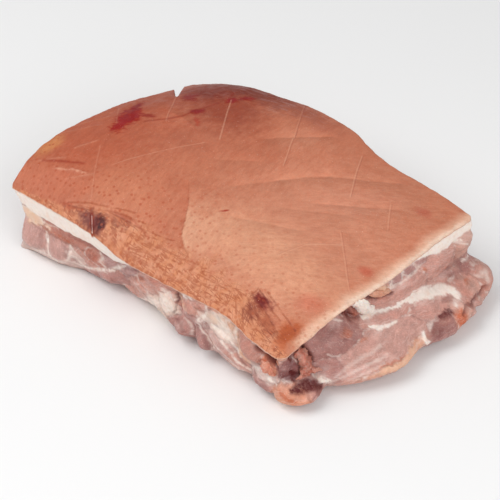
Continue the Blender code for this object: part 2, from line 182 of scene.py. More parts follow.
# Distance along the side, level, half length, half depth, bulge, slant in degrees (up to
# the right when positive), lean colour, slant of the fibres.
MUSCLES = listed(front=(
    (15, 0.64, 14, 10, 0.6, 0, "mauve", 85), (43, 0.65, 11, 9, 0.8, 0, "mauve", 88),
    (28, 0.92, 26, 6, 0.3, 0, "pale", 24), (58, 0.66, 4, 9, 0.3, 80, "pale", 0),
    # the russet strip at 55 is partly the lean's own colour and partly painted shade just under the band of
    # fat
    (55, 0.4, 28, 5, 0.6, 8, "russet", 8), (67, 0.62, 5, 9, 0.6, 60, "rosy", 60),
    (78, 0.46, 7, 8, 1.2, 70, "russet", 70), (80, 0.87, 18, 6, 0.8, 20, "lobe", 22),
    (91, 0.48, 6, 8, 0.8, 50, "plum", 50), (99, 0.64, 11, 6, 1, 38, "lobe", 40),
    (111, 0.33, 20, 5, 0.8, 44, "plum", 44), (121, 0.46, 13, 8, 1, 44, "rosy", 44),
    (138, 0.2, 14, 9, 1.2, 30, "rosy", 44), (116, 0.78, 16, 6, 0.8, 36, "rosy", 36),
    (137, 0.66, 12, 8, 0.6, 40, "cream", 42), (154, 0.44, 8, 10, 1.2, 80, "cream", 70),
    (171, 0.28, 6, 12, 1.4, 78, "rosy", 76), (180, 0.4, 5, 13, 1.2, 78, "plum", 78),
    (167, 0.68, 10, 8, 1.5, 0, "lobe", 40), (188, 0.7, 8, 8, 1.5, -20, "plum", 60),
    (191, 0.11, 8, 5, 0.8, 20, "rosy", 30), (204, 0.28, 14, 12, 0.8, -20, "cream", -50),
    (205, 0.62, 13, 11, 1.2, -30, "mauve", -12), (220, 0.74, 10, 8, 1, -40, "rosy", -20),
    (217, 0.18, 4, 9, 0.6, 70, "peach", 70), (230, 0.3, 9, 11, 1.8, 60, "oval", 62),
    (243, 0.11, 8, 3, 1.6, -10, "coral", -10), (246, 0.58, 13, 5, 1, 0, "silver", 0),
    (243, 0.76, 11, 6, 1, 0, "plum", 0), (249, 0.39, 7, 6, 1.6, 0, "knob", -30),
    (260, 0.24, 6, 8, 0.4, 60, "dusk", 40),
), right=(
    (4, 0.09, 9, 4, 0.6, 0, "rosy", 0), (4, 0.38, 11, 8, 0.2, 0, "dark", 8),
    (4, 0.76, 12, 7, 1.8, 0, "peel", 20), (19, 0.78, 10, 6, 1.2, 0, "lobe", 20),
    (46, 0.3, 25, 14, 1.5, -14, "dusk", -40), (36, 0.63, 13, 6, 0.5, 0, "lobe", -14),
    (78, 0.61, 40, 8, 1.8, 4, "soft", 6), (84, 0.74, 30, 3, 0.8, 2, "peel", 3),
    (96, 0.42, 26, 4, 0.8, -4, "pink", -5), (124, 0.55, 17, 5, 1.2, -14, "pink", -12),
    (110, 0.26, 28, 8, 1.6, -3, "pink", -3), (109, 0.085, 5.5, 4, 1.4, 0, "plum", 0),
    (121, 0.075, 5.5, 3.6, 1.4, 0, "plum", 0), (133, 0.06, 6, 3.2, 1, 0, "plum", 0),
    (152, 0.3, 22, 9, 1.4, -14, "pink", -24), (178, 0.3, 10, 10, 1.4, -10, "coral", -20),
    (92, 0.08, 8, 3, 1, -20, "peel", -20), (71, 0.22, 5, 4, 0.6, -40, "brown", -40),
    (127, 0.74, 14, 5, 0.6, 2, "dusk", 5), (147, 0.74, 7, 5, 1.2, 20, "coral", 20),
    (176, 0.565, 13, 2.6, 0.2, -2, "dusk", -2), (168, 0.66, 14, 5, 1.4, -4, "rosy", -6),
    (185, 0.69, 8, 8, 1.6, 0, "rosy", 20), (172, 0.86, 14, 6, 1, 0, "soft", 0),
), back=(
    (12, 0.62, 16, 16, 1, 30, "lobe", 40), (52, 0.58, 28, 14, 1, 8, "mauve", 12),
    (44, 0.86, 26, 8, 0.8, -3, "rosy", -4), (96, 0.48, 22, 13, 1, -10, "pink", -14),
    (92, 0.82, 24, 10, 0.8, 4, "soft", 6), (140, 0.6, 26, 18, 1, 12, "mauve", 16),
    (150, 0.88, 26, 7, 0.8, -3, "rosy", 0), (190, 0.46, 24, 12, 1, -8, "pink", -12),
    (204, 0.78, 28, 12, 1, 5, "lobe", 8), (244, 0.56, 22, 16, 1, 14, "mauve", 20),
), left=(
    (30, 0.6, 24, 16, 1, 20, "lobe", 30), (72, 0.66, 27, 15, 1, -4, "mauve", 6),
    (78, 0.36, 24, 8, 0.8, 2, "pink", -2), (46, 0.9, 26, 6, 0.8, 3, "rosy", 0),
    (122, 0.6, 27, 17, 1, -12, "mauve", -14), (112, 0.91, 28, 5, 0.6, -2, "soft", 0),
    (160, 0.66, 18, 15, 0.8, 10, "lobe", 14), (182, 0.7, 10, 16, 0.6, 80, "mauve", 80),
))

# Lines of fat, silver skin, stain and shadow: kind, strength, lift of the surface, then
# the line's points, each a distance along the side, a level and a half width.
STREAKS = listed(front=(
    ("fat", 0.9, -0.4, (30, 0.52, 0.9), (32, 0.6, 1.3), (35, 0.69, 1.3), (39, 0.77, 1.5), (44, 0.88, 1.6)),
    ("fat", 0.6, 0, (20, 0.88, 1.6), (30, 0.81, 1.4), (38, 0.78, 1.6), (48, 0.85, 1.6)),
    ("fat", 0.7, -0.3, (54, 0.52, 0.8), (55, 0.6, 0.9), (53, 0.7, 0.8), (50, 0.79, 1)),
    ("fat", 0.5, 0, (55, 0.56, 0.7), (60, 0.6, 0.9), (65, 0.66, 0.6)),
    ("fat", 0.55, 0, (54, 0.66, 0.7), (60, 0.7, 1), (64, 0.77, 0.8)),
    ("fat", 0.5, 0, (48, 0.8, 0.9), (57, 0.82, 1.2), (65, 0.8, 0.9)),
    ("fat", 0.6, -0.3, (85, 0.36, 0.7), (85, 0.46, 1.1), (83, 0.55, 0.9), (86, 0.62, 0.7)),
    ("fat", 0.4, 0, (72, 0.4, 0.5), (71, 0.5, 0.8), (73, 0.58, 0.5)),
    ("fat", 0.8, -0.4, (64, 0.81, 1), (74, 0.76, 1.3), (84, 0.67, 1.3), (93, 0.6, 1), (100, 0.44, 1.1),
     (108, 0.27, 0.9), (113, 0.19, 0.6)),
    ("fat", 0.45, 0, (6, 0.46, 0.6), (16, 0.44, 0.8), (26, 0.385, 0.6), (44, 0.33, 0.5)),
    # the rust line along the top of the tan patch is partly the lean's rusty brown and partly painted shade
    ("rust", 0.6, -0.3, (7, 0.2, 0.6), (13, 0.225, 0.9), (20, 0.25, 0.5)),
    ("shade", 0.4, -0.5, (15, 0.495, 0.4), (22, 0.52, 0.7), (30, 0.545, 0.4)),
    ("shade", 0.35, 0, (25, 0.56, 1.6), (27, 0.66, 2.2), (27, 0.76, 1.6)),
    ("shade", 0.3, 0, (50, 0.55, 1.2), (52, 0.63, 1.6), (50, 0.74, 1.2)),
    ("shade", 0.4, -0.6, (56, 0.33, 1.6), (66, 0.3, 2), (78, 0.31, 2.6), (88, 0.35, 1.6)),
    ("shade", 0.5, -1, (104, 0.36, 1), (112, 0.22, 1.6), (124, 0.11, 1.4), (134, 0.06, 1)),
    ("shade", 0.4, -0.4, (104, 0.56, 1.2), (112, 0.42, 1.6), (118, 0.3, 1)),
    ("shade", 0.4, -0.5, (121, 0.3, 1.2), (127, 0.22, 2), (133, 0.17, 1.2)),
    ("fat", 0.35, 0, (108, 0.58, 0.6), (118, 0.46, 0.8), (126, 0.34, 0.6)),
    ("fat", 0.6, 0, (112, 0.94, 1.8), (124, 0.76, 2), (134, 0.6, 2.2), (146, 0.46, 1.6)),
    ("shade", 1, -4.5, (164, 0, 1.6), (166, 0.05, 2.6), (164, 0.11, 1.6)),
    ("shade", 0.9, -2.5, (163, 0.17, 0.9), (164, 0.25, 1.2), (163.5, 0.3, 0.8)),
    ("shade", 0.5, -1.2, (163, 0.3, 0.7), (162, 0.45, 0.6), (158, 0.55, 0.5)),
    ("fat", 0.8, 0.3, (166, 0.13, 1.4), (170, 0.065, 2.2), (179, 0.06, 1.6)),
    ("fat", 0.5, -0.2, (170, 0.53, 0.8), (174, 0.58, 1.1), (176, 0.66, 0.9), (175, 0.75, 0.7)),
    ("shade", 0.35, -0.4, (161, 0.61, 0.9), (168, 0.62, 1.4), (171, 0.7, 1.4)),
    ("shade", 0.4, -1, (177, 0.56, 0.5), (178, 0.68, 0.8), (181, 0.8, 0.9)),
    ("fat", 0.85, -0.4, (191, 0.26, 1.4), (186, 0.36, 1.6), (184, 0.45, 1.5), (184, 0.53, 1.1)),
    ("fat", 0.6, 0, (194, 0.03, 0.7), (194, 0.14, 0.8), (191, 0.25, 1.2)),
    ("fat", 0.6, -0.5, (184, 0.56, 1), (191, 0.6, 0.8), (197, 0.7, 0.8), (199, 0.79, 0.8)),
    ("shade", 0.5, -1, (189, 0.62, 1), (193, 0.68, 1.6), (194, 0.76, 1.2)),
    ("fat", 0.85, 0, (197, 0.36, 1.3), (205, 0.37, 1.6), (212, 0.4, 1.6), (217, 0.47, 1.3), (223, 0.58, 1)),
    ("shade", 0.5, -1, (213, 0.425, 0.6), (218, 0.5, 1.2), (223, 0.6, 1.3), (227, 0.69, 0.7)),
    ("fat", 0.7, 0, (205, 0.46, 1), (214, 0.56, 1), (221, 0.66, 1.1), (231, 0.76, 1)),
    ("fat", 0.5, 0, (196, 0.55, 0.9), (208, 0.63, 0.8), (216, 0.73, 0.8), (226, 0.82, 0.8)),
    ("tan", 0.8, 0.2, (221, 0.33, 0.9), (221, 0.45, 1.5), (224, 0.54, 2.2), (230, 0.6, 1.6)),
    ("fat", 0.7, 0.2, (221, 0.1, 1), (219, 0.25, 1.3), (220.5, 0.38, 1)),
    ("fat", 0.7, 0.2, (237, 0.06, 0.6), (236, 0.11, 0.9), (240, 0.155, 0.7)),
    ("shade", 1, -3, (237, 0.17, 0.8), (244, 0.21, 1.5), (250, 0.26, 1.8), (257, 0.3, 1.4)),
    ("shade", 1, -3, (248, 0.06, 1.2), (252, 0.09, 2.6), (256, 0.06, 1.6)),
    ("fat", 0.6, 0.2, (233, 0.67, 0.9), (238, 0.57, 1.3), (245, 0.52, 1.3), (251, 0.57, 1.2),
     (257, 0.65, 0.8)),
    ("fat", 0.9, 0.5, (249, 0.58, 1.3), (253, 0.61, 1.7)),
), right=(
    ("fat", 0.45, 0, (-3, 0.58, 0.6), (4, 0.55, 0.8), (10, 0.57, 0.6), (16, 0.56, 0.5)),
    ("silver", 0.7, 0, (-1, 0.18, 0.9), (6, 0.15, 1.1), (12, 0.17, 0.8)),
    ("shade", 1, -3, (23, 0.11, 1), (24, 0.22, 1.5), (27, 0.33, 1.3), (28.5, 0.42, 1.5), (27, 0.48, 1)),
    ("shade", 1, -2.5, (11, 0.15, 1), (13, 0.22, 1.5)),
    ("blood", 1, -1.5, (11, 0.42, 1.5), (13.5, 0.5, 2.4), (12, 0.56, 1.6)),
    ("blood", 1, -1.5, (7, 0.66, 1.2), (14, 0.64, 2), (20, 0.65, 2.6), (25, 0.69, 2.4), (28, 0.76, 1.4)),
    ("blood", 0.5, -0.5, (3, 0.48, 1), (10, 0.53, 1.8)),
    ("rust", 0.6, 0, (0, 0.68, 0.8), (3, 0.72, 1.2), (6, 0.75, 0.9)),
    ("shade", 1, -3.5, (58, 0.1, 1.4), (63, 0.16, 2.3), (67, 0.24, 2.4), (70, 0.27, 1.2)),
    ("shade", 0.6, -1.2, (66, 0.28, 0.8), (74, 0.31, 0.9), (86, 0.345, 0.8), (99, 0.365, 0.5)),
    ("fat", 1, 0.3, (54, 0.04, 1.3), (59, 0.08, 1.6), (64, 0.11, 1)),
    ("shade", 1, -2.6, (79, 0.03, 1), (84, 0.1, 2.2), (91, 0.15, 2), (98, 0.185, 1.5), (104, 0.21, 0.8)),
    ("fat", 0.6, 0, (100, 0.13, 0.8), (110, 0.15, 0.8), (120, 0.14, 0.7), (131, 0.12, 0.7)),
    ("fat", 0.7, 0, (104, 0.01, 0.7), (105, 0.07, 0.9), (103, 0.12, 0.8)),
    ("fat", 0.7, 0, (115, 0.01, 0.6), (116, 0.07, 0.8), (113, 0.12, 0.6)),
    ("fat", 0.6, 0, (126, 0.01, 0.6), (126, 0.06, 0.8), (129, 0.11, 0.6)),
    ("fat", 1, 0.6, (76, 0.33, 0.9), (90, 0.35, 0.7), (100, 0.365, 0.7), (110, 0.385, 1.1),
     (120, 0.42, 1.8), (130, 0.465, 2.8), (140, 0.52, 2), (148, 0.565, 2.4), (155, 0.6, 1.2)),
    ("fat", 0.8, 0.3, (122, 0.38, 0.5), (131, 0.42, 0.9), (140, 0.47, 0.6)),
    ("fat", 0.9, 0.3, (156, 0.61, 1.3), (151, 0.645, 1.3), (147, 0.665, 0.6)),
    ("fat", 0.95, 0.2, (77, 0.42, 0.6), (82, 0.455, 1.9), (88, 0.475, 1.4), (99, 0.485, 0.6)),
    ("fat", 1, 0, (141, 0, 1.4), (149, 0.05, 3.2), (158, 0.05, 4.2), (170, 0.06, 4), (190, 0.05, 4.6)),
    ("fat", 0.9, 0, (158, 0.11, 1.8), (166, 0.14, 1.6), (173, 0.17, 0.9)),
    ("fat", 0.5, 0, (168, 0.17, 0.6), (178, 0.25, 0.5)),
    ("shade", 0.4, -0.8, (160, 0.44, 2), (170, 0.49, 2.4), (181, 0.52, 1.6)),
    ("fat", 0.8, 0.3, (179, 0.535, 0.5), (184, 0.53, 0.8), (189, 0.535, 0.6)),
    ("blood", 0.9, -1.5, (131, 0.665, 0.8), (138, 0.675, 1.4), (142, 0.69, 1.1)),
    ("shade", 0.5, -0.5, (140, 0.605, 0.6), (146, 0.62, 1.2)),
    ("fat", 0.95, 0.8, (112, 0.67, 1), (109, 0.72, 1.3), (112, 0.79, 1.5)),
    ("fat", 0.5, 0.3, (117, 0.68, 0.6), (122, 0.66, 0.8), (128, 0.65, 0.5)),
    ("fat", 0.32, 0.1, (38, 0.71, 0.35), (50, 0.64, 0.45), (64, 0.6, 0.4), (77, 0.575, 0.35)),
    ("fat", 0.32, 0.1, (33, 0.77, 0.4), (46, 0.7, 0.5), (60, 0.66, 0.45), (77, 0.63, 0.35)),
    ("fat", 0.25, 0.1, (44, 0.76, 0.4), (56, 0.715, 0.4), (71, 0.68, 0.35)),
    ("fat", 0.4, 0, (40, 0.46, 0.4), (43, 0.52, 0.5), (48, 0.56, 0.35)),
    ("fat", 0.5, 0, (47, 0.02, 0.7), (51, 0.1, 0.6), (57, 0.19, 0.4)),
    ("fat", 0.5, 0, (50, 0.01, 0.6), (58, 0.1, 0.5), (60, 0.17, 0.4)),
    ("fat", 0.9, 0.3, (26, 0.62, 1), (28, 0.67, 1.4), (34, 0.76, 1.4)),
    ("shade", 0.7, -2, (148, 0.735, 0.8), (155, 0.705, 1), (163, 0.745, 1.2), (168, 0.715, 1),
     (174, 0.735, 1), (181, 0.72, 0.8)),
    ("fat", 0.5, 0.3, (179, 0.63, 0.6), (185, 0.66, 1.1), (183, 0.71, 0.8)),
), back=(
    ("fat", 0.55, -0.4, (24, 0.42, 0.6), (33, 0.55, 1.3), (47, 0.64, 1), (66, 0.7, 0.6)),
    ("fat", 0.7, -0.5, (70, 0.3, 1.4), (78, 0.44, 1.2), (74, 0.62, 0.9), (60, 0.78, 1.1), (40, 0.84, 0.6)),
    ("silver", 0.7, 0, (96, 0.66, 1.2), (112, 0.6, 2.4), (130, 0.7, 1.4)),
    ("fat", 0.6, -0.3, (118, 0.36, 0.7), (126, 0.5, 1.2), (122, 0.74, 1), (134, 0.9, 0.7)),
    ("fat", 0.7, -0.4, (160, 0.26, 1.8), (170, 0.42, 1.2), (186, 0.62, 1), (212, 0.7, 0.7)),
    ("fat", 0.5, 0, (214, 0.4, 0.6), (226, 0.52, 1.1), (236, 0.76, 0.8), (230, 0.92, 0.6)),
), left=(
    ("fat", 0.6, -0.4, (46, 0.32, 1.3), (52, 0.48, 1), (44, 0.7, 1.2), (54, 0.88, 0.8)),
    ("fat", 0.5, -0.3, (54, 0.5, 0.8), (74, 0.47, 1.3), (96, 0.52, 0.7)),
    ("silver", 0.7, 0, (96, 0.4, 1.4), (102, 0.58, 2.2), (92, 0.8, 1.4)),
    ("fat", 0.6, -0.3, (136, 0.34, 0.9), (148, 0.52, 1.1), (144, 0.78, 0.9), (156, 0.92, 0.6)),
    ("shade", 0.7, -2, (60, 0.84, 1.2), (84, 0.86, 2), (104, 0.84, 1.2)),
))

# Soft patches: kind or lean colour, strength, lift, distance along, level, half length,
# half depth, slant.
PATCHES = listed(front=(
    ("fat", 0.95, 0.3, 15, 0.36, 20, 6.5, -3), ("tan", 0.85, 0, 14, 0.38, 20, 7, -2),
    ("rust", 0.5, 0, 20, 0.35, 10, 1.6, 2), ("rust", 0.3, 0, 21, 0.45, 8, 1.5, -4),
    ("rust", 0.45, 0, 44, 0.44, 12, 1.6, 4), ("rust", 0.6, 0, 53, 0.445, 4, 1.8, 10),
    ("brown", 0.8, -0.3, 78, 0.5, 4, 4, 60), ("rosy", 0.5, 0.3, 82, 0.4, 3, 4, 60),
    ("silver", 0.6, 0, 62, 0.7, 5, 7, 60), ("russet", 0.6, 0.4, 98, 0.57, 5, 3, 20),
    ("rust", 0.35, 0, 126, 0.25, 5, 2.5, 20), ("russet", 0.6, 0.3, 143, 0.1, 7, 5, 40),
    ("russet", 0.5, 0.3, 155, 0.06, 5, 3, 0), ("coral", 0.7, 0.3, 122, 0.52, 6, 4, 40),
    ("coral", 0.5, 0.3, 136, 0.36, 6, 3, 0), ("fat", 0.75, 0, 131, 0.72, 19, 5, 38),
    ("fat", 0.8, 0.3, 153, 0.45, 8, 7, 20), ("fat", 0.75, 0.2, 158, 0.22, 4.5, 9, 80),
    ("fat", 0.5, 0, 149, 0.33, 6, 3, 0), ("rust", 0.6, 0, 150, 0.52, 1.2, 1.8, 60),
    ("rust", 0.5, 0, 155, 0.53, 1, 1.6, 60), ("peach", 0.7, 0, 168, 0.22, 4, 8, 80),
    ("silver", 0.5, 0, 168, 0.64, 5, 4, 20), ("fat", 0.6, 0, 209, 0.27, 9, 7, -20),
    ("silver", 0.7, 0, 196, 0.44, 12, 9, -30), ("tan", 0.5, 0, 199, 0.24, 5, 5, -10),
    ("peach", 0.8, 0.2, 218, 0.24, 3.5, 9, 76), ("rosy", 0.6, 0, 197, 0.36, 3, 2, 0),
    ("orange", 0.5, 0.3, 200, 0.04, 6, 3, 0), ("russet", 0.5, 0, 188, 0.17, 3, 4, 60),
    ("rosy", 0.6, 0.3, 215, 0.65, 5, 4, -30), ("silver", 0.7, 0, 222, 0.78, 12, 6, -20),
    ("orange", 0.7, 0.6, 247, 0.37, 4, 4, 0), ("peach", 0.4, 0.3, 254, 0.44, 5, 3, 0),
    ("peach", 0.5, 0.3, 258, 0.12, 5, 5, 60), ("tan", 0.5, 0, 262, 0.9, 9, 6, -30),
), right=(
    ("peach", 0.5, 0.3, 6, 0.08, 8, 3, 0), ("plum", 0.6, 0.2, 2, 0.3, 8, 3, 0),
    ("dark", 0.6, -0.5, 9, 0.46, 6, 3, 0), ("rust", 0.45, 0.2, 0, 0.8, 9, 3, 0),
    ("rim", 0.7, 0.2, 4, 0.74, 12, 6, 0), ("blood", 0.6, -0.6, 20, 0.64, 9, 2.6, -4),
    ("shade", 0.45, -0.4, 23, 0.72, 6, 3, 20), ("coral", 0.5, 0, 15, 0.72, 5, 2, 0),
    ("shade", 0.3, 0, 40, 0.16, 16, 5, -30), ("shade", 0.5, 0, 38, 0.05, 6, 3, -20),
    ("rust", 0.45, 0.2, 57, 0.34, 6, 3, -16), ("shade", 0.5, -0.5, 55, 0.385, 3, 1.6, 0),
    ("silver", 0.5, 0, 50, 0.1, 8, 6, -40), ("rust", 0.5, 0, 76, 0.695, 14, 1, 2),
    ("tan", 0.8, 0, 84, 0.745, 24, 2.6, 2), ("rust", 0.5, 0, 69, 0.505, 5, 0.8, 6),
    ("fat", 1, 0.8, 72, 0.07, 7, 3.2, -40), ("fat", 1, 1.2, 78, 0.17, 7, 5, -36),
    ("fat", 1, 1, 83, 0.27, 6, 3, -22), ("tan", 0.9, 0.8, 94, 0.07, 7, 2, -16),
    ("fat", 0.7, 0.6, 100, 0.13, 4, 1.5, -20), ("russet", 0.5, -0.4, 96, 0.2, 8, 2.6, -10),
    ("silver", 0.5, 0, 106, 0.19, 14, 2.4, 0), ("rust", 0.6, 0.2, 133, 0.18, 1.6, 2.4, 20),
    ("rust", 0.5, 0.2, 146, 0.33, 3, 1.4, -30), ("rust", 0.45, 0.2, 158, 0.42, 2.6, 1.4, -30),
    ("shade", 0.35, -1.2, 124, 0.73, 12, 4, 2), ("orange", 0.9, 0.5, 145, 0.77, 8, 5, 20),
    ("silver", 0.5, 0, 150, 0.47, 8, 3, -20), ("plum", 0.6, 0, 156, 0.46, 12, 3, -10),
    ("coral", 0.6, 0.3, 168, 0.5, 7, 4, -30), ("coral", 0.7, 0.2, 172, 0.66, 9, 4, -20),
    ("plum", 0.5, 0, 128, 0.8, 7, 2, 14), ("rosy", 0.5, 0.2, 132, 0.7, 6, 1.4, 8),
    ("dark", 0.5, -0.5, 122, 0.78, 6, 1.6, 20), ("rust", 0.5, 0.2, 149, 0.83, 3, 2, 30),
    ("rust", 0.6, 0, 170, 0.62, 3, 1, 0), ("rust", 0.5, 0, 178, 0.72, 4, 1.2, 0),
    ("shade", 0.4, -0.4, 168, 0.88, 8, 4, 0), ("pink", 0.6, 0.2, 152, 0.64, 7, 3, -6),
), back=(
    ("silver", 0.7, 0, 60, 0.5, 22, 9, 8), ("silver", 0.6, 0, 150, 0.5, 20, 10, 12),
    ("tan", 0.5, 0, 110, 0.92, 30, 4, 0), ("russet", 0.5, 0.3, 24, 0.5, 12, 5, 20),
    ("rust", 0.4, 0, 100, 0.4, 14, 3, -10), ("dusk", 0.6, 0, 186, 0.5, 14, 6, 10),
    ("coral", 0.5, 0.3, 244, 0.7, 10, 6, 14),
), left=(
    ("silver", 0.6, 0, 40, 0.5, 18, 8, 20), ("tan", 0.5, 0, 120, 0.93, 30, 4, 0),
    ("russet", 0.5, 0.2, 72, 0.6, 14, 6, -6), ("coral", 0.4, 0, 120, 0.5, 16, 5, -12),
    ("dusk", 0.5, 0, 160, 0.7, 10, 8, 10), ("rust", 0.4, 0, 28, 0.4, 8, 3, 20),
))

# Depth of the back fat under the rind, as a level, by distance round the rim.
BAND_EDGE = {
    "front": ((0, 0.28), (10, 0.25), (16, 0.27), (24, 0.29), (40, 0.295), (52, 0.295), (62, 0.285),
        (72, 0.265), (82, 0.27), (90, 0.31), (96, 0.32), (101, 0.28), (106, 0.21), (111, 0.15),
        (116, 0.1), (122, 0.05), (130, 0.02), (140, 0.0), (262, 0.0)),
    "right": ((0, 0.0), (30, 0.0), (48, 0.03), (90, 0.03), (128, 0.04), (140, 0.09), (150, 0.15),
        (160, 0.165), (170, 0.14), (188, 0.11)),
    "back": ((0, 0.12), (14, 0.16), (60, 0.22), (120, 0.18), (190, 0.24), (268, 0.22)),
    "left": ((0, 0.22), (40, 0.18), (90, 0.2), (150, 0.17), (178, 0.2), (190, 0.25)),
}

# ---- the rind's features ----------------------------------------------------------------

HIDE = (198, 126, 100)
# Soft fields of colour: place along and across, half sizes, turn in degrees, colour, strength.
# The dark fields towards the far left back are partly the rind's own darker red and partly
# painted shade where it turns away from the light.
HIDE_FIELDS = (
    (0.8, 0.5, 0.34, 0.46, 0, (209, 145, 119), 0.85), (0.86, 0.88, 0.18, 0.16, 0, (200, 134, 108), 0.7),
    (0.76, 0.27, 0.28, 0.18, 0, (222, 162, 132), 0.9), (0.1, 0.4, 0.2, 0.44, 0, (186, 102, 78), 0.8),
    (0.06, 0.74, 0.12, 0.26, 0, (176, 96, 74), 0.85), (0.24, 0.8, 0.18, 0.16, -30, (157, 80, 63), 0.85),
    (0.22, 0.95, 0.22, 0.07, 0, (128, 64, 54), 0.9), (0.42, 0.94, 0.16, 0.06, 0, (166, 100, 82), 0.7),
    (0.12, 0.86, 0.1, 0.09, 0, (132, 60, 50), 0.8), (0.3, 0.55, 0.1, 0.14, -50, (182, 108, 86), 0.5),
    (0.34, 0.16, 0.14, 0.12, 0, (208, 136, 106), 0.6), (0.015, 0.21, 0.03, 0.07, 0, (208, 140, 96), 0.9),
    (0.46, 0.66, 0.09, 0.12, 30, (186, 112, 88), 0.5), (0.5, 0.8, 0.06, 0.1, 20, (206, 140, 114), 0.6),
    (0.95, 0.5, 0.02, 0.03, 0, (200, 106, 86), 0.7), (0.94, 0.24, 0.05, 0.05, 30, (206, 122, 100), 0.6),
    (0.96, 0.1, 0.04, 0.07, 0, (206, 126, 90), 0.4), (0.985, 0.015, 0.025, 0.03, 0, (206, 136, 106), 0.9),
    (0.1, 0.08, 0.14, 0.06, 10, (206, 128, 102), 0.6), (0.78, 0.72, 0.14, 0.1, 45, (206, 142, 118), 0.6),
    (0.91, 0.87, 0.025, 0.03, 0, (184, 96, 80), 0.5), (0.565, 0.325, 0.003, 0.016, -40, (158, 48, 40), 0.9),
    (0.6, 0.24, 0.06, 0.1, 0, (222, 164, 134), 0.5),
)
# The thin, wrinkled belt along the front edge: how wide it is across, by place along.
BELT_WIDTH = (
    (0, 0.0), (0.2, 0.03), (0.34, 0.10), (0.45, 0.13), (0.62, 0.13), (0.8, 0.12), (0.9, 0.09), (1, 0.03),
)
# The creases' dark colours are partly the skin's own and partly painted shade in the creases.
BELT_COLOUR, BELT_STAIN, BELT_CREASE_SHADE = (226, 164, 130), (200, 122, 76), (160, 78, 44)
BRUISE_CREASE_SHADE = (92, 30, 34)
# The fold's colours are painted light on its lit side and painted shade on its shaded side; the ridge colour
# is a painted highlight on the low wrinkles' crests.
FOLD_PALE, FOLD_DARK, RIDGE_HIGHLIGHT = (228, 178, 148), (186, 108, 84), (238, 190, 164)
VEIN_RED, NICK_RED = (146, 58, 46), (140, 30, 26)
END_RIM_LIGHT, END_FAT = (241, 206, 182), (242, 214, 194)       # the right end's painted rim light and its bare fat
# the grey veil over the far left back is partly the rind's own grey-purple and partly painted shade where it
# turns away from the light
PORE_BROWN, GREY_VEIL_AND_SHADE, GLINT = (174, 82, 50), (186, 150, 148), (240, 205, 190)
# the knife scores' pale cut, and the painted shade along one side of each
SCORE_PALE, SCORE_SHADE = (232, 176, 146), (140, 60, 48)

# Bruises and blood under the skin: place, half sizes, turn, colour, strength.
BRUISES = (
    (0.3, 0.03, 0.04, 0.03, 4, (126, 72, 70), 0.85), (0.32, 0.04, 0.02, 0.02, 0, (66, 26, 34), 0.9),
    (0.27, 0.02, 0.02, 0.02, 0, (144, 96, 92), 0.6), (0.22, 0.03, 0.04, 0.01, 8, (164, 72, 50), 0.6),
    (0.37, 0.08, 0.04, 0.02, 22, (176, 102, 78), 0.6), (0.85, 0.13, 0.026, 0.025, 12, (116, 44, 44), 0.9),
    (0.85, 0.08, 0.025, 0.04, -6, (156, 88, 72), 0.7), (0.9, 0.08, 0.045, 0.025, -30, (168, 92, 70), 0.6),
    (0.96, 0.1, 0.03, 0.05, 0, (170, 80, 48), 0.6), (0.97, 0.04, 0.025, 0.035, 0, (196, 112, 78), 0.5),
)
BLOOD_FIELDS = (
    (0.1, 0.5, 0.03, 0.1, 22, (154, 42, 36), 1), (0.06, 0.59, 0.015, 0.07, 24, (138, 36, 34), 0.8),
    (0.12, 0.43, 0.02, 0.05, 10, (160, 52, 42), 0.9), (0.13, 0.56, 0.03, 0.015, 8, (138, 40, 36), 0.6),
    (0.13, 0.78, 0.035, 0.03, -40, (146, 52, 44), 0.85), (0.23, 0.84, 0.02, 0.025, -52, (150, 44, 36), 0.9),
    (0.22, 0.69, 0.017, 0.03, -30, (150, 48, 40), 0.9), (0.26, 0.63, 0.035, 0.01, -42, (174, 76, 60), 0.7),
    (0.25, 0.89, 0.014, 0.03, -30, (148, 50, 42), 0.85),
)

# The lines on the rind are laid out in mm from its left front corner: along it, across it.
# Thin red lines under the skin: stops, strength.
RED_LINES = (
    (((40, 98), (50, 109), (55, 118), (57, 150)), 0.5), (((51, 171), (57, 161)), 0.7),
    (((12, 25), (31, 32), (42, 36)), 0.5), (((92, 18), (106, 22), (122, 19)), 0.3),
)
# Straight knife scores: from, to, how pale the cut shows, how dark the painted shade on its right side shows.
SCORES = (
    (22, 146, 50, 108, 0.5, 0.5), (61, 158, 94, 115, 0.8, 0.2), (103, 185, 129, 151, 0.3, 0.7),
    (131, 147, 146, 125, 0.7, 0.4), (174, 175, 198, 139, 0.6, 0.5), (224, 150, 236, 134, 0.5, 0.3),
    (220, 105, 255, 74, 0.55, 0.35), (40, 54, 66, 20, 0.35, 0.1), (62, 48, 71, 66, 0.5, 0),
    (71, 66, 90, 102, 0.5, 0), (209, 60, 213, 80, 0.5, 0.2), (213, 80, 226, 98, 0.6, 0.2),
    (184, 72, 231, 28, 0.2, 0), (8, 104, 24, 86, 0.3, 0.1),
)
# Soft folds of the skin painted as light and shade, paler on the left of the way from one end to
# the other and darker on its right: ends, strength.
FOLD_SHADING_STEPS = (
    (140, 88, 156, 112, 0.6), (156, 112, 175, 140, 1), (175, 140, 210, 175, 0.8), (190, 116, 228, 150, 0.9),
    (118, 137, 145, 168, 0.9), (70, 113, 42, 120, 0.6), (110, 98, 130, 113, 0.5), (162, 64, 200, 86, 0.6),
    (180, 98, 210, 120, 0.5),
)
FOLD = ((112, 68), (128, 52), (143, 31), (156, 22))         # the skin to its right stands higher
FOLD_STEP, FOLD_REACH = 0.9, 16.0
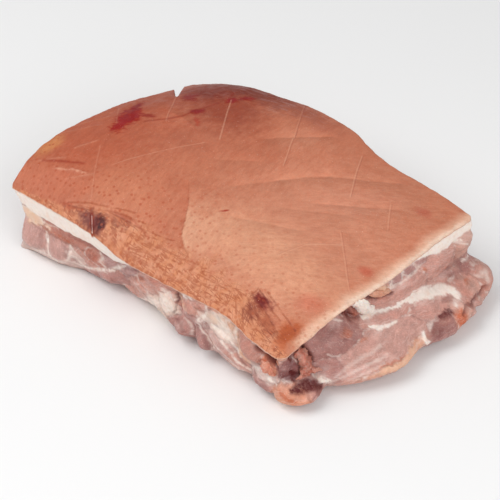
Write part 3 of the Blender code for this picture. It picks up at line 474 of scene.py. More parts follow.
# Low wrinkles by the left end: stops, height and the strength of the painted highlight on their crests.
RIDGES = (
    (((27, 23), (38, 28), (50, 30)), 1), (((25, 45), (33, 59)), 0.5), (((9, 23), (26, 34)), 0.5),
    (((40, 20), (55, 32)), 0.4), (((3, 55), (18, 77)), 0.25), (((0, 62), (13, 90)), 0.25),
)
NICK = (75, 10, 85, 0)                                      # a red knife cut that runs out over the edge
NICK_WIDTH, NICK_DEPTH = 0.75, 1.8
# Fans of fine creases: place, reach to the left and right, turn and spread in degrees,
# width of the bundle, count and seed.
CREASED = (
    (76, 8, 26, 50, 10, 20, 15, 7, 3), (79, 4, 12, 34, 4, 12, 6, 3, 4), (222, 20, 8, 34, -28, 36, 24, 7, 5),
    (222, 24, 9, 9, 60, 60, 10, 3, 6), (144, 9, 40, 40, -1, 8, 18, 5, 7),
    (189, 8, 34, 34, -3, 10, 15, 4, 8), (113, 11, 26, 30, 3, 12, 18, 4, 9),
)
# Shallow hollows: place by shares, half sizes in mm, depth.
HOLLOWS = ((0.30, 0.05, 15, 9, 1.6), (0.86, 0.09, 12, 14, 1.2), (0.50, 0.20, 14, 20, 1.0))


# ---- numbers and grain ----------------------------------------------------------------------

def ease(low, high, value):
    """0 up to low, 1 from high on, and a smooth rise between them."""
    share = np.clip((np.asarray(value, dtype=float) - low) / (high - low), 0, 1)
    return share * share * (3 - 2 * share)


def light(colour):
    """A seen colour, 0 to 255, as the light that it gives back, 0 to 1."""
    seen = np.asarray(colour, dtype=float) / 255
    return np.where(seen <= 0.04045, seen / 12.92, ((seen + 0.055) / 1.055) ** 2.4)


def smooth_curve(place, knots):
    """Values at the given places of a smooth curve through the knots, without overshoot."""
    x, y = np.array(knots, dtype=float).T
    step = np.diff(x)
    rise = np.diff(y) / step
    slope = np.concatenate(([rise[0]], np.zeros(len(x) - 2), [rise[-1]]))
    for i in range(1, len(x) - 1):
        if rise[i - 1] * rise[i] > 0:
            before, after = 2 * step[i] + step[i - 1], step[i] + 2 * step[i - 1]
            slope[i] = (before + after) / (before / rise[i - 1] + after / rise[i])
    place = np.clip(np.asarray(place, dtype=float), x[0], x[-1])
    i = np.clip(np.searchsorted(x, place, side="right") - 1, 0, len(step) - 1)
    s = (place - x[i]) / step[i]
    ends = y[i] * (1 + 2 * s) * (1 - s) ** 2 + y[i + 1] * s * s * (3 - 2 * s)
    return ends + step[i] * (slope[i] * s * (1 - s) ** 2 + slope[i + 1] * s * s * (s - 1))


def pigment(colour):
    """The pigment that is seen as this colour under the wet surface's own shine."""
    return np.clip(light(np.clip(colour, 0, 255)) - SHINE, 0.004, 1)


CORNERS = list(itertools.product((0, 1), repeat=3))
PULLS = np.array([p for p in itertools.product((-1, 0, 1), repeat=3) if sum(map(abs, p)) == 2], dtype=float)


def lumps(points, size, seed=0):
    """Smooth random heights from about -1 to 1 at the points, with lumps of that size."""
    points = np.asarray(points, dtype=float) / size
    base = np.floor(points)
    part = points - base
    fade = part ** 3 * (part * (part * 6 - 15) + 10)
    base = base.astype(np.int64)
    height = np.zeros(points.shape[:-1])
    for corner in CORNERS:
        x, y, z = np.moveaxis(base + corner, -1, 0)
        mixed = (x * 73856093) ^ (y * 19349663) ^ (z * 83492791) ^ (seed * 2654435761 + 97)
        mixed = ((mixed ^ (mixed >> 13)) * 1274126177) & 0x7FFFFFFF
        pull = np.sum(PULLS[(mixed ^ (mixed >> 16)) % len(PULLS)] * (part - corner), axis=-1)
        height += pull * np.prod(np.where(corner, fade, 1 - fade), axis=-1)
    return height


def rough(points, size, seed=0, layers=3):
    """Lumps with finer and fainter lumps on them."""
    return sum(lumps(points, size / 2 ** k, seed + k) * 0.5 ** k for k in range(layers))


def line_gap(x, y, line):
    """Distance from each point to a line through x, y, half width stops, and the width there."""
    gap = np.full(np.shape(x), np.inf)
    width = np.zeros(np.shape(x))
    for (x0, y0, w0), (x1, y1, w1) in zip(line, line[1:]):
        run, fall = x1 - x0, y1 - y0
        share = np.clip(((x - x0) * run + (y - y0) * fall) / (run * run + fall * fall), 0, 1)
        here = np.hypot(x - x0 - share * run, y - y0 - share * fall)
        width = np.where(here < gap, w0 + (w1 - w0) * share, width)
        gap = np.minimum(gap, here)
    return gap, width


def patch_gap(x, y, half_long, half_deep, slant):
    """Distance from the middle of an oval, 1 at its edge; a positive slant turns it anticlockwise."""
    turn = math.radians(slant)
    long_way = x * math.cos(turn) + y * math.sin(turn)
    short_way = y * math.cos(turn) - x * math.sin(turn)
    return np.hypot(long_way / half_long, short_way / half_deep)


# ---- the rind's form -------------------------------------------------------------------------

def side_ends(side):
    i = SIDES.index(side)
    return np.array(RIND_CORNERS[i]), np.array(RIND_CORNERS[(i + 1) % 4])


SIDE_LENGTH = {side: float(np.linalg.norm(np.subtract(*side_ends(side)))) for side in SIDES}
SIDE_START = {side: sum(SIDE_LENGTH[s] for s in SIDES[:i]) for i, side in enumerate(SIDES)}
RIM_LENGTH = sum(SIDE_LENGTH.values())
LONG = (SIDE_LENGTH["front"] + SIDE_LENGTH["back"]) / 2
WIDE = (SIDE_LENGTH["right"] + SIDE_LENGTH["left"]) / 2


def rim_points(side, along):
    """Points of the rind's edge, for shares from 0 to 1 along one side."""
    start, end = side_ends(side)
    along = np.asarray(along, dtype=float)
    outward = np.array((end[1] - start[1], start[0] - end[0])) / SIDE_LENGTH[side]
    bow = smooth_curve(along, EDGE_BOW[side])
    plan = start + along[..., None] * (end - start) + bow[..., None] * outward
    return np.concatenate((plan, smooth_curve(along, EDGE_HEIGHT[side])[..., None]), axis=-1)


def round_tips(u, v):
    """The same places with those near the rind's four corners drawn in, so that the tips are round."""
    near_end, near_side = np.minimum(u, 1 - u) * LONG, np.minimum(v, 1 - v) * WIDE
    front, back = TIP_RADIUS
    radius = np.where(v < 0.5, np.where(u < 0.5, *front), np.where(u < 0.5, *back))
    p = np.clip(1 - near_end / radius, 0, 1)
    q = np.clip(1 - near_side / radius, 0, 1)
    shift_u = radius * p * (1 - np.sqrt(1 - q * q / 2)) / LONG
    shift_v = radius * q * (1 - np.sqrt(1 - p * p / 2)) / WIDE
    return u + np.where(u < 0.5, shift_u, -shift_u), v + np.where(v < 0.5, shift_v, -shift_v)


def dome(u, v):
    """Points of the plain domed rind, u along +X and v towards the back."""
    u, v = round_tips(u, v)
    front, back = rim_points("front", u), rim_points("back", 1 - u)
    right, left = rim_points("right", v), rim_points("left", 1 - v)
    u, v = u[..., None], v[..., None]
    ends = [np.append(corner, EDGE_HEIGHT[side][0][1]) for side, corner in zip(SIDES, RIND_CORNERS)]
    corners = (1 - u) * (1 - v) * ends[0] + u * (1 - v) * ends[1] + u * v * ends[2] + (1 - u) * v * ends[3]
    points = (1 - v) * front + v * back + (1 - u) * left + u * right - corners
    points[..., 2] += CROWN * np.clip(16 * u * (1 - u) * v * (1 - v), 0, None)[..., 0] ** CROWN_SHAPE
    return points


def slit_mouth():
    """Where the slit opens at the rind's edge, in plan."""
    return rim_points("left", np.array([SLIT_PLACE]))[0, :2]


def slit_drop(points):
    """How far the open slit beside the far left corner drops the surface at these points."""
    turn = math.radians(SLIT_TURN)
    inward = np.array((math.cos(turn), math.sin(turn)))
    from_mouth = points[..., :2] - slit_mouth()
    along = from_mouth @ inward
    across = np.abs(from_mouth @ np.array((-inward[1], inward[0])))
    half = SLIT_WIDTH / 2 * np.clip(0.5 - along / SLIT_LENGTH, 0, 1)
    return SLIT_DEPTH * ease(0.9, 0.0, across - half) * ease(SLIT_LENGTH / 2, SLIT_LENGTH / 2 - 4, along)


def hidden_inside(u, v, below):
    """Hidden inner points under the rind, this far below its top and lower near the slit."""
    points = dome(u, v)
    near_slit = ease(SLIT_LENGTH, SLIT_LENGTH / 2, np.linalg.norm(points[:, :2] - slit_mouth(), axis=1))
    points[:, 2] -= below + HIDDEN_DROP + SLIT_CLEARANCE * SLIT_DEPTH * near_slit
    return points


# ---- the wall's form -----------------------------------------------------------------------

SIDE_COLUMNS = {side: WALL_STEPS[side] * CAP_CELLS[i % 2] for i, side in enumerate(SIDES)}


def rim_columns():
    """Where the wall's columns stand, anticlockwise: shares u and v of the rind, place in
    sides, and distance round the rim."""
    shares = {side: np.arange(count) / count for side, count in SIDE_COLUMNS.items()}
    front, right, back, left = (shares[side] for side in SIDES)
    u = np.concatenate((front, np.ones_like(right), 1 - back, np.zeros_like(left)))
    v = np.concatenate((np.zeros_like(front), right, np.ones_like(back), 1 - left))
    place = np.concatenate([i + shares[side] for i, side in enumerate(SIDES)])
    round_rim = np.concatenate([SIDE_START[side] + shares[side] * SIDE_LENGTH[side] for side in SIDES])
    return u, v, place, round_rim


def smooth_round(values, reach):
    """Values along the closed rim, each averaged with its neighbours up to reach columns away."""
    weights = [1 + math.cos(math.pi * k / (reach + 1)) for k in range(-reach, reach + 1)]
    total = sum(np.roll(values, k, 0) * weight for k, weight in zip(range(-reach, reach + 1), weights))
    return total / sum(weights)


def plain_wall():
    """The wall without its muscles: its points by column and row, each point's level and its
    depth in mm, and for each column the way out, the distance round the rim and the height."""
    u, v, place, round_rim = rim_columns()
    rim = dome(u, v)
    run = np.roll(rim, -1, 0) - np.roll(rim, 1, 0)
    outward = np.column_stack((run[:, 1], -run[:, 0]))
    outward /= np.linalg.norm(outward, axis=1)[:, None]
    reach = round(CORNER_ROUND * len(place) / RIM_LENGTH)
    outward = smooth_round(outward, reach)
    outward /= np.linalg.norm(outward, axis=1)[:, None]
    rounded = smooth_round(rim[:, :2], reach)
    height = rim[:, 2]
    start = WALL_START / height[:, None]
    level = start + (1 - start) * np.linspace(0, 1, WALL_ROWS + 1)[None, :]
    stops = [smooth_curve(place, knots) for knots in (FAT_REACH, WAIST_REACH, BELLY_REACH, FOOT_REACH)]
    stations = np.column_stack([np.zeros(len(place))] + stops)
    reach = np.array([smooth_curve(row, list(zip(REACH_LEVELS, knots)))
                      for row, knots in zip(level, stations)])
    share = np.clip(level / ROUNDED_BY, 0, 1)[:, :, None]
    plan = rim[:, None, :2] * (1 - share) + rounded[:, None] * share + reach[:, :, None] * outward[:, None]
    top = height - slit_drop(rim)
    points = np.dstack((plan, top[:, None] * (1 - level)))
    return SimpleNamespace(points=points, outward=outward, level=level, down=level * height[:, None],
                           round_rim=round_rim, height=height)


def from_middle(wall, side, along):
    """Signed distance round the rim from a feature's place to each column."""
    round_way = wall.round_rim - SIDE_START[side] - along + RIM_LENGTH / 2
    return (round_way % RIM_LENGTH - RIM_LENGTH / 2)[:, None]


def from_spot(wall, side, along, depth):
    """Each point's place along and up from a feature's place, with the wall's own wander."""
    x = from_middle(wall, side, along) + wall.stir[0]
    return x, (depth - wall.level) * wall.height[:, None] + wall.stir[1]


def side_curve(wall, curves):
    """A value for each column, from one curve for each side."""
    value = np.zeros(len(wall.round_rim))
    for side in SIDES:
        along = wall.round_rim - SIDE_START[side]
        here = (along >= -1e-6) & (along < SIDE_LENGTH[side])
        value[here] = smooth_curve(along[here], curves[side])
    return value


def solid_relief(wall):
    """How far the solid's own bulges and seams move the wall outward."""
    level, tall = wall.level, wall.height[:, None]
    relief, cut = np.zeros(level.shape), np.zeros(level.shape)
    for at, depth, half_long, half_deep, push, slant in BULGES:
        side = SIDES[int(at)]
        x = from_middle(wall, side, at % 1 * SIDE_LENGTH[side])
        gap = patch_gap(x, (depth - level) * tall, half_long, half_deep, slant)
        relief = np.maximum(relief, push * np.clip(1 - gap ** 2, 0, None))
    for at, depth, to, to_depth, half_width, deep in SEAMS:
        side = SIDES[int(at)]
        x = from_middle(wall, side, at % 1 * SIDE_LENGTH[side])
        run, fall = (to - at) * SIDE_LENGTH[side], (to_depth - depth) * tall
        down = (level - depth) * tall
        share = np.clip((x * run + down * fall) / (run ** 2 + fall ** 2), 0, 1)
        off = np.hypot(x - share * run, down - share * fall)
        cut = np.maximum(cut, deep * np.exp(-(off / half_width) ** 2))
    fade = np.clip((RELIEF_FOOT - level) / RELIEF_FADE, 0, 1) * np.clip(level / RELIEF_TOP, 0, 1)
    return fade * (relief - cut)


def muscle_map(wall):
    """For every point of the wall: how near its muscle's middle (0) or edge (1) it lies, the gap
    to the next muscle, the muscles' bulge and colour blended over their borders, its place along
    and across the fibres, and its muscle's number."""
    gaps = np.zeros((len(MUSCLES),) + wall.level.shape)
    grain = np.zeros(wall.level.shape + (3,))
    for i, (side, along, depth, half_long, half_deep, _, slant, _, fibre) in enumerate(MUSCLES):
        x, y = from_spot(wall, side, along, depth)
        gaps[i] = patch_gap(x, y, half_long, half_deep, slant)
        turn = math.radians(fibre)
        strands = np.dstack((x * math.cos(turn) + y * math.sin(turn), y * math.cos(turn) - x * math.sin(turn),
                             np.full(x.shape, GRAIN_APART * i)))
        mine = gaps[i] <= gaps[:i + 1].min(0)
        grain[mine] = strands[mine]
    sizes = np.array([math.sqrt(muscle[3] * muscle[4]) for muscle in MUSCLES])
    nearest = gaps.min(0)
    second = np.partition(gaps, 1, axis=0)[1]
    weight = np.exp(-(gaps - nearest) * sizes[:, None, None] / BORDER_BLEND)
    weight /= weight.sum(0)
    pushes = np.tensordot(weight, [muscle[5] for muscle in MUSCLES], (0, 0))
    tones = np.tensordot(weight, np.array([LEAN[muscle[7]] for muscle in MUSCLES], dtype=float), (0, 0))
    owner = gaps.argmin(0)
    return nearest, (second - nearest) * sizes[owner] / 2, pushes, tones, grain, owner


LOOKS = ("fat", "tan", "silver", "blood", "shade")
# How strongly long white threads show, by lean colour, and in every other lean.
LINED = {"soft": 0.2, "pink": 0.25, "peel": 0.3, "silver": 0.4, "cream": 0.0}
PLAIN_LINED = 0.12


def lay_on(looks, tones, kind, share):
    """Lay a kind of look, or a lean colour, over the wall by these shares."""
    if kind in LOOKS:
        looks[kind] = np.maximum(looks[kind], share)
    else:
        tones += (np.array(LEAN[kind]) - tones) * share[:, :, None]


def lay_patches(wall, looks, tones):
    """Lay the soft patches over the wall, and give how far they lift it."""
    relief = np.zeros(wall.level.shape)
    for side, kind, strength, lift, along, depth, half_long, half_deep, slant in PATCHES:
        x, y = from_spot(wall, side, along, depth)
        gap = patch_gap(x, y, half_long, half_deep, slant) + 0.3 * wall.patchy
        crisp = kind == "fat" and strength > 0.9
        fading = ease(0.75, 1.0, gap + 0.2 * wall.frayed) if crisp else ease(0.5, 1.2, gap)
        share = strength * (1 - fading)
        if kind in ("fat", "silver") and strength < 0.9:
            share = share * (0.35 + 0.65 * wall.broken)
        lay_on(looks, tones, kind, share)
        relief += lift * share
    return relief


def lay_streaks(wall, looks, tones):
    """Lay the lines of fat, silver skin, stain and shadow, and give how far they lift the wall."""
    relief = np.zeros(wall.level.shape)
    for side, kind, strength, lift, *stops in STREAKS:
        middle = stops[0][0]
        bend = 0.15 if stops[0][2] < 0.5 else 0.55
        x = from_middle(wall, side, middle) + bend * wall.stir[0]
        y = -wall.down + bend * wall.stir[1]
        places = SIDE_START[side] + np.array([along for along, _, _ in stops])
        tall = np.interp(places, wall.round_rim, wall.height)
        line = [(along - middle, -depth * here, half) for (along, depth, half), here in zip(stops, tall)]
        off, width = line_gap(x, y, line)
        off = off + (0.35 * wall.patchy * np.minimum(width, 2.2) + 0.4 * wall.frayed * np.minimum(width, 1.2))
        soft = 0.75 if kind == "fat" and strength > 0.9 else 0.35
        share = strength * (1 - ease(soft * width, (1.85 - soft) * width + 0.3, off))
        if kind == "fat" and stops[0][2] > 0.5:
            halo = 0.4 * strength * (1 - ease(width, 3 * width + 0.8, off))
            looks["silver"] = np.maximum(looks["silver"], halo)
        if kind == "fat" and strength < 0.95 and stops[1][2] > 0.6:
            share = share * (0.3 + 0.7 * wall.broken)
        lay_on(looks, tones, kind, share)
        relief += lift * np.exp(-(np.maximum(off, 0) / (1.1 * width)) ** 2) * (1 if lift < -1 else strength)
    looks["fat"] *= 1 - 0.9 * looks["blood"]
    looks["shade"] *= 1 - 0.9 * looks["fat"] * (looks["shade"] < 0.8)
    return relief


def lay_fat_band(wall, looks, relief):
    """Lay the band of back fat over everything under the rind, and give the relief with it."""
    points = wall.points
    band_down = (side_curve(wall, BAND_EDGE) * wall.height)[:, None]
    below = wall.height[:, None] - points[:, :, 2]
    band = 1 - ease(-0.6, 0.6, below - band_down + 0.8 * wall.patchy + 0.5 * wall.stir[0])
    looks["fat"] = np.maximum(looks["fat"], band)
    for kind in ("silver", "blood", "shade"):
        looks[kind] *= 1 - band
    looks["tan"] *= 1 - 0.85 * band
    return relief * (1 - band) + band * (0.25 * lumps(points, 9, 71) + 0.08 * lumps(points, 2.5, 72) + 0.3)


def dress_wall():
    """The wall with its muscles, seams, band of fat, stains and painted shade: its points, their
    looks and colour, and their place along the fibres."""
    wall = plain_wall()
    points = wall.points
    wall.stir = (1.6 * rough(points, 15, 11) + 0.9 * rough(points, 4.2, 12),
                 1.4 * rough(points, 13, 21) + 0.9 * rough(points, 3.8, 22))
    wall.patchy, wall.frayed = rough(points, 5.5, 51), rough(points, 1.8, 62)
    wall.broken = ease(-0.5, 0.1, rough(points, 3.0, 61))
    nearest, gap, pushes, tones, grain, owner = muscle_map(wall)

    seam = (1 - ease(0.0, 1.6, gap)) * ease(-0.5, 0.35, rough(points, 9, 43))
    strands = np.abs(lumps(grain * (1 / 9, 1 / 2.0, 1), 1.0, 31))
    relief = solid_relief(wall) + pushes * np.clip(1 - nearest ** 2, -0.3, 1) - 0.55 * seam
    relief += 0.6 * lumps(points, 8, 41) + 0.35 * rough(points, 3.0, 42) - 0.3 * np.clip(0.3 - strands, 0, 1)

    looks = {kind: np.zeros(wall.level.shape) for kind in LOOKS}
    looks["fat"] += (1 - ease(0.0, 0.9, gap)) * ease(0.05, 0.5, wall.patchy) * 0.5
    # painted shade in the gaps between muscles
    looks["shade"] += (1 - ease(0.0, 1.2, gap)) * ease(0.1, -0.35, wall.patchy) * 0.4
    looks["silver"] += seam * ease(-0.2, 0.4, wall.patchy) * 0.75
    looks["silver"] += ease(0.90, 0.97, wall.level) * ease(-0.1, 0.35, rough(points, 9, 52)) * 0.6
    relief += lay_patches(wall, looks, tones)
    relief += lay_streaks(wall, looks, tones)
    relief = lay_fat_band(wall, looks, relief)
    lined = np.array([LINED.get(muscle[7], PLAIN_LINED) for muscle in MUSCLES])
    looks["lined"] = lined[owner] * ease(-0.6, 0.2, rough(points, 16, 91))

    u, v, _, _ = rim_columns()
    edge_down = (curl(u, v) + RIND_SIDE)[:, None]
    relief *= ease(edge_down, edge_down + 4.0, wall.down)
    relief -= TUCK * (1 - ease(edge_down - 0.2, edge_down + 0.9, wall.down))
    points[:, :, :2] += relief[:, :, None] * wall.outward[:, None, :]
    tones *= (1 + 0.06 * rough(points, 10, 81))[:, :, None]
    return points, looks, pigment(tones), grain


# ---- the rind --------------------------------------------------------------------------------

# How far the rind curls down at each side's edge, and the width over which it does.
CURLS = {"front": (0.2, 4.0), "right": (0.4, 6.0), "back": (0.0, 4.0), "left": (0.0, 4.0)}
FAR = 9.0                    # no score or crease is told apart beyond this distance


def curl(u, v):
    """How far the rind curls down near its edges, beyond the roll of the edge itself."""
    gaps = {"front": v * WIDE, "right": (1 - u) * LONG, "back": (1 - v) * WIDE, "left": u * LONG}
    return np.max([drop * np.clip(1 - gaps[side] / reach, 0, 1) ** 2
                   for side, (drop, reach) in CURLS.items()], axis=0)


def even_line(stops):
    """A line of x, y stops, as line_gap() takes it, with the same half width all along."""
    return [(*stop, 1.0) for stop in stops]


def folded(x, y, stops):
    """Distance from a line, and whether each point is on the right of it."""
    gap, _ = line_gap(x, y, even_line(stops))
    across_line, along_line = zip(*reversed(stops))
    return gap, x > np.interp(y, along_line, across_line)


def signed_gap(x, y, ends):
    """Distance from each point to a stretch of line, and to the line itself, left of it positive."""
    x0, y0, x1, y1 = ends
    run, rise = x1 - x0, y1 - y0
    length = math.hypot(run, rise)
    x, y = x - x0, y - y0
    share = np.clip((x * run + y * rise) / length ** 2, 0, 1)
    return np.hypot(x - share * run, y - share * rise), (y * run - x * rise) / length


def crease_lines_of(fans):
    """The wandering lines of the fans of creases, in mm."""
    lines = []
    for at, across, left, right, turn, fan, bundle, count, seed in fans:
        chance = np.random.default_rng(seed)
        for share in np.linspace(-0.5, 0.5, count):
            angle = math.radians(turn + fan * share + chance.uniform(-4, 4))
            start, end = -left * chance.uniform(0.3, 1), right * chance.uniform(0.3, 1)
            drift = chance.uniform(-1.2, 1.2, 4)
            base = np.array((at - share * bundle * math.sin(math.radians(turn)),
                             across + share * bundle * math.cos(math.radians(turn))))
            way = np.array((math.cos(angle), math.sin(angle)))
            side = np.array((-way[1], way[0]))
            stops = [base + way * (start + (end - start) * k / 3) + side * drift[k] for k in range(4)]
            lines.append(even_line(stops))
    return lines


def scored(x, y, stir, ragged):
    """The knife scores: how they lift the skin, the signed distance from the nearest, and how
    pale its cut and how dark the painted shade on its right side shows."""
    lift, nearest, cut = np.zeros_like(x), np.full_like(x, np.inf), np.full_like(x, FAR)
    pale_share, shade_share = np.zeros_like(x), np.zeros_like(x)
    for *ends, pale, dark in SCORES:
        off, side_off = signed_gap(x + 0.06 * stir[0], y + 0.06 * stir[1], ends)
        lift -= 0.25 * pale * np.exp(-(off / 0.7) ** 2)
        mine = off < nearest
        nearest = np.where(mine, off, nearest)
        cut = np.where(mine, side_off, cut)
        fading = ease(4.0, 1.0, off) * (0.75 + 0.25 * ragged)
        pale_share = np.where(mine, pale * fading, pale_share)
        shade_share = np.where(mine, dark * fading, shade_share)
    return lift, np.clip(cut, -FAR, FAR), pale_share, shade_share


def painted_fold_shading(x, y, stir):
    """How much the painted light of the soft folds lightens the skin, below 0 where their painted shade
    darkens it.
    """
    tone = np.zeros_like(x)
    for *ends, strength in FOLD_SHADING_STEPS:
        off, side_off = signed_gap(x + 0.25 * stir[0], y + 0.25 * stir[1], ends)
        beyond = np.sqrt(np.abs(off ** 2 - side_off ** 2))
        sides = np.where(side_off > 0, np.exp(-side_off / 9), -np.exp(side_off / 6))
        tone += strength * np.exp(-(beyond / 5) ** 2) * sides * ease(0, 0.7, np.abs(side_off))
    return tone


def folded_skin(x, y, v):
    """The fold: how it lifts the skin, its lit right side and its shaded left side."""
    off, right_of = folded(x, y, FOLD)
    within = ease(0.09, 0.15, v) * ease(0.40, 0.34, v)
    slope = np.exp(-off / FOLD_REACH)
    stand = np.where(right_of, slope, -0.2 * np.exp(-off / 3.0))
    lit = np.where(right_of, slope, 0) * within
    shaded = np.where(right_of, 0, np.exp(-off / 7.0)) * within
    return FOLD_STEP * stand * within, lit, shaded


def fine_lines(x, y, stir, ragged):
    """The low wrinkles and the thin red lines: how they lift the skin, where the painted highlight on the
    wrinkles' crests shows, and where the red lines show.
    """
    lift, ridge_highlight, vein = np.zeros_like(x), np.zeros_like(x), np.zeros_like(x)
    x, y = x + 0.1 * stir[0], y + 0.1 * stir[1]
    for stops, strength in RIDGES:
        off, _ = line_gap(x, y, even_line(stops))
        lift += 0.5 * strength * np.exp(-(off / 1.5) ** 2)
        ridge_highlight = np.maximum(ridge_highlight, strength * (0.7 + 0.6 * ragged) * np.exp(-(off / 0.9) ** 2))
    for stops, strength in RED_LINES:
        off, _ = line_gap(x, y, even_line(stops))
        vein = np.maximum(vein, strength * np.exp(-(off / 1.1) ** 2))
    return lift, ridge_highlight, vein


def crease_distance(x, y, stir, ragged):
    """Distance from each point to the nearest of the fans of creases."""
    gap = np.full_like(x, FAR)
    x, y = x + 0.12 * stir[0] + 0.3 * ragged, y + 0.12 * stir[1] + 0.3 * ragged
    for line in crease_lines_of(CREASED):
        gap = np.minimum(gap, line_gap(x, y, line)[0])
    return gap


def bruised_share(x, y, ragged):
    """How bruised the skin is at each point."""
    bruised = np.zeros_like(x)
    for at, across, half_long, half_wide, turn, _, strength in BRUISES:
        span = (half_long * LONG, half_wide * WIDE)
        gap = patch_gap(x - at * LONG, y - across * WIDE, *span, turn) + 0.25 * ragged
        bruised = np.maximum(bruised, strength * (1 - ease(0.6, 1.7, gap)))
    return bruised


def tinted(hide, colour, share):
    """The skin's colours with this share of one colour over them."""
    return hide + (np.array(colour) - hide) * share[..., None]


def stained(hide, fields, flat, stir, soft, grit):
    """The skin's colours with oval fields of colour over them."""
    x, y = flat[..., 0] + 0.7 * stir[0], flat[..., 1] + 0.7 * stir[1]
    uneven = 0.2 * rough(flat, 7, 151) + grit
    for at, across, half_long, half_wide, turn, colour, strength in fields:
        gap = patch_gap(x - at * LONG, y - across * WIDE, half_long * LONG, half_wide * WIDE, turn)
        hide = tinted(hide, colour, strength * (1 - ease(soft, 1.3, gap + uneven)))
    return hide


def dress_rind(u, v):
    """The rind's top surface at shares u and v: its points, their looks and colour, and their
    place on the flattened rind."""
    points = dome(u, v)
    x, y = u * LONG, v * WIDE
    flat = np.stack((x, y, np.zeros_like(x)), axis=-1)
    end_gap, side_gap = np.minimum(x, LONG - x), np.minimum(y, WIDE - y)
    rim_gap = np.minimum(end_gap, side_gap)
    stir = (rough(flat, 20, 101) * 5, rough(flat, 20, 111) * 4)
    ragged = rough(flat, 2.6, 161)
    belt = smooth_curve(u, BELT_WIDTH) + 1e-4
    belt = 1 - ease(0.6, 1.25, v / belt + 0.35 * rough(flat, 12, 131))

    score_lift, cut, score, score_shade = scored(x, y, stir, ragged)
    fold_lift, fold_lit, fold_shaded = folded_skin(x, y, v)
    ridge_lift, ridge_highlight, vein = fine_lines(x, y, stir, ragged)
    crease_gap = crease_distance(x, y, stir, ragged)
    nick = ease(NICK_WIDTH * 1.5, NICK_WIDTH * 0.4, signed_gap(x, y, NICK)[0])
    relief = ease(0, 5, rim_gap) * (0.7 * lumps(flat, 52, 121) + 0.3 * lumps(flat, 19, 122))
    relief += 0.06 * rough(flat, 4, 123) + 0.10 * belt + score_lift + fold_lift + ridge_lift
    relief -= NICK_DEPTH * nick + 0.25 * np.exp(-(crease_gap / 0.7) ** 2)
    for at, across, half_long, half_wide, depth in HOLLOWS:
        relief -= depth * np.exp(-patch_gap(x - at * LONG, y - across * WIDE, half_long, half_wide, 0) ** 2)

    outward = np.stack((np.sign(u - 0.5) * ease(6, 0, end_gap),
                        np.sign(v - 0.5) * ease(6, 0, side_gap)), axis=-1)
    points[..., :2] += EDGE_WAVER * rough(flat, 8, 181)[..., None] * outward
    roll = np.clip(1 - rim_gap / EDGE_ROLL, 0, 1)
    relief -= EDGE_ROLL * (1 - np.sqrt(1 - roll ** 2)) + curl(u, v)
    drop = slit_drop(points)
    points[..., 2] += relief - drop

    hide = stained(np.zeros(flat.shape) + HIDE, HIDE_FIELDS, flat, stir, 0.25, 0.14 * ragged)
    # painted light and shade of the soft folds
    hide *= 1 + 0.07 * painted_fold_shading(x, y, stir)[..., None]
    hide = tinted(hide, BELT_COLOUR, 0.75 * belt)
    hide = stained(hide, BRUISES, flat, stir, 0.45, 0.45 * ragged)
    hide = stained(hide, BLOOD_FIELDS, flat, stir, 0.35, 0.45 * ragged)
    fold_lit = fold_lit * ease(0.36, 0.2, v) * ease(55, 10, x - 0.5 * LONG)
    # painted rim light: a paler strip along the right end of the rind
    rim_light_end = ease(10, 1, LONG - x + 0.5 * stir[0]) * ease(0.02, 0.12, v)
    bare_end = ease(3.4, 1.0, LONG - x + 0.25 * stir[0]) * ease(0.2, 0.32, v) * ease(0.99, 0.9, v)
    for colour, share in ((FOLD_PALE, 0.8 * fold_lit), (FOLD_DARK, 0.4 * fold_shaded),
                          (RIDGE_HIGHLIGHT, 0.7 * ridge_highlight), (VEIN_RED, vein), (NICK_RED, nick),
                          (END_RIM_LIGHT, 0.8 * rim_light_end), (END_FAT, 0.85 * bare_end)):
        hide = tinted(hide, colour, share)
    looks = {
        "belt": belt, "cut": cut, "score": score, "score_shade": score_shade, "crease_gap": crease_gap,
        "cut_fat": ease(0.8, 2.2, drop), "lie": ease(0.5, 0.8, u), "bruised": bruised_share(x, y, ragged),
        "pores": ease(0.46, 0.14, v) * (0.45 + 0.5 * ease(0.7, 0.35, u)) + 0.12,
        # grey over the far left back: partly the rind's own grey-purple and partly painted shade
        "grey_and_shade": ease(0.86, 0.97, v + 0.02 * stir[1]) * ease(0.62, 0.30, u),
    }
    return points, looks, pigment(hide), flat


# ---- meshes ----------------------------------------------------------------------------------

def side_starts(cells_long, cells_wide, steps):
    """Where each side starts in a ring that has steps points to each cell on each side."""
    return np.cumsum([0, cells_long * steps[0], cells_wide * steps[1], cells_long * steps[2]])


def cap_faces(cells_long, cells_wide, steps, ring, first_inner):
    """Faces of a coarse cap inside a finer ring, which has steps points to each cell on each
    side; facing up when the ring runs anticlockwise.  Inner points count from first_inner."""
    starts = side_starts(cells_long, cells_wide, steps)
    count = len(ring)

    def node(i, j):
        if j == 0:
            return ring[i * steps[0]]
        if i == cells_long:
            return ring[(starts[1] + j * steps[1]) % count]
        if j == cells_wide:
            return ring[(starts[2] + (cells_long - i) * steps[2]) % count]
        if i == 0:
            return ring[(starts[3] + (cells_wide - j) * steps[3]) % count]
        return first_inner + (j - 1) * (cells_long - 1) + i - 1

    def edge(side, k):
        first = starts[side] + k * steps[side]
        return [ring[(first + n) % count] for n in range(1, steps[side])]

    faces = []
    for j, i in itertools.product(range(cells_wide), range(cells_long)):
        face = [node(i, j)]
        face += edge(0, i) if j == 0 else []
        face.append(node(i + 1, j))
        face += edge(1, j) if i == cells_long - 1 else []
        face.append(node(i + 1, j + 1))
        face += edge(2, cells_long - 1 - i) if j == cells_wide - 1 else []
        face.append(node(i, j + 1))
        face += edge(3, cells_wide - 1 - j) if i == 0 else []
        faces.append([int(p) for p in face])
    return faces


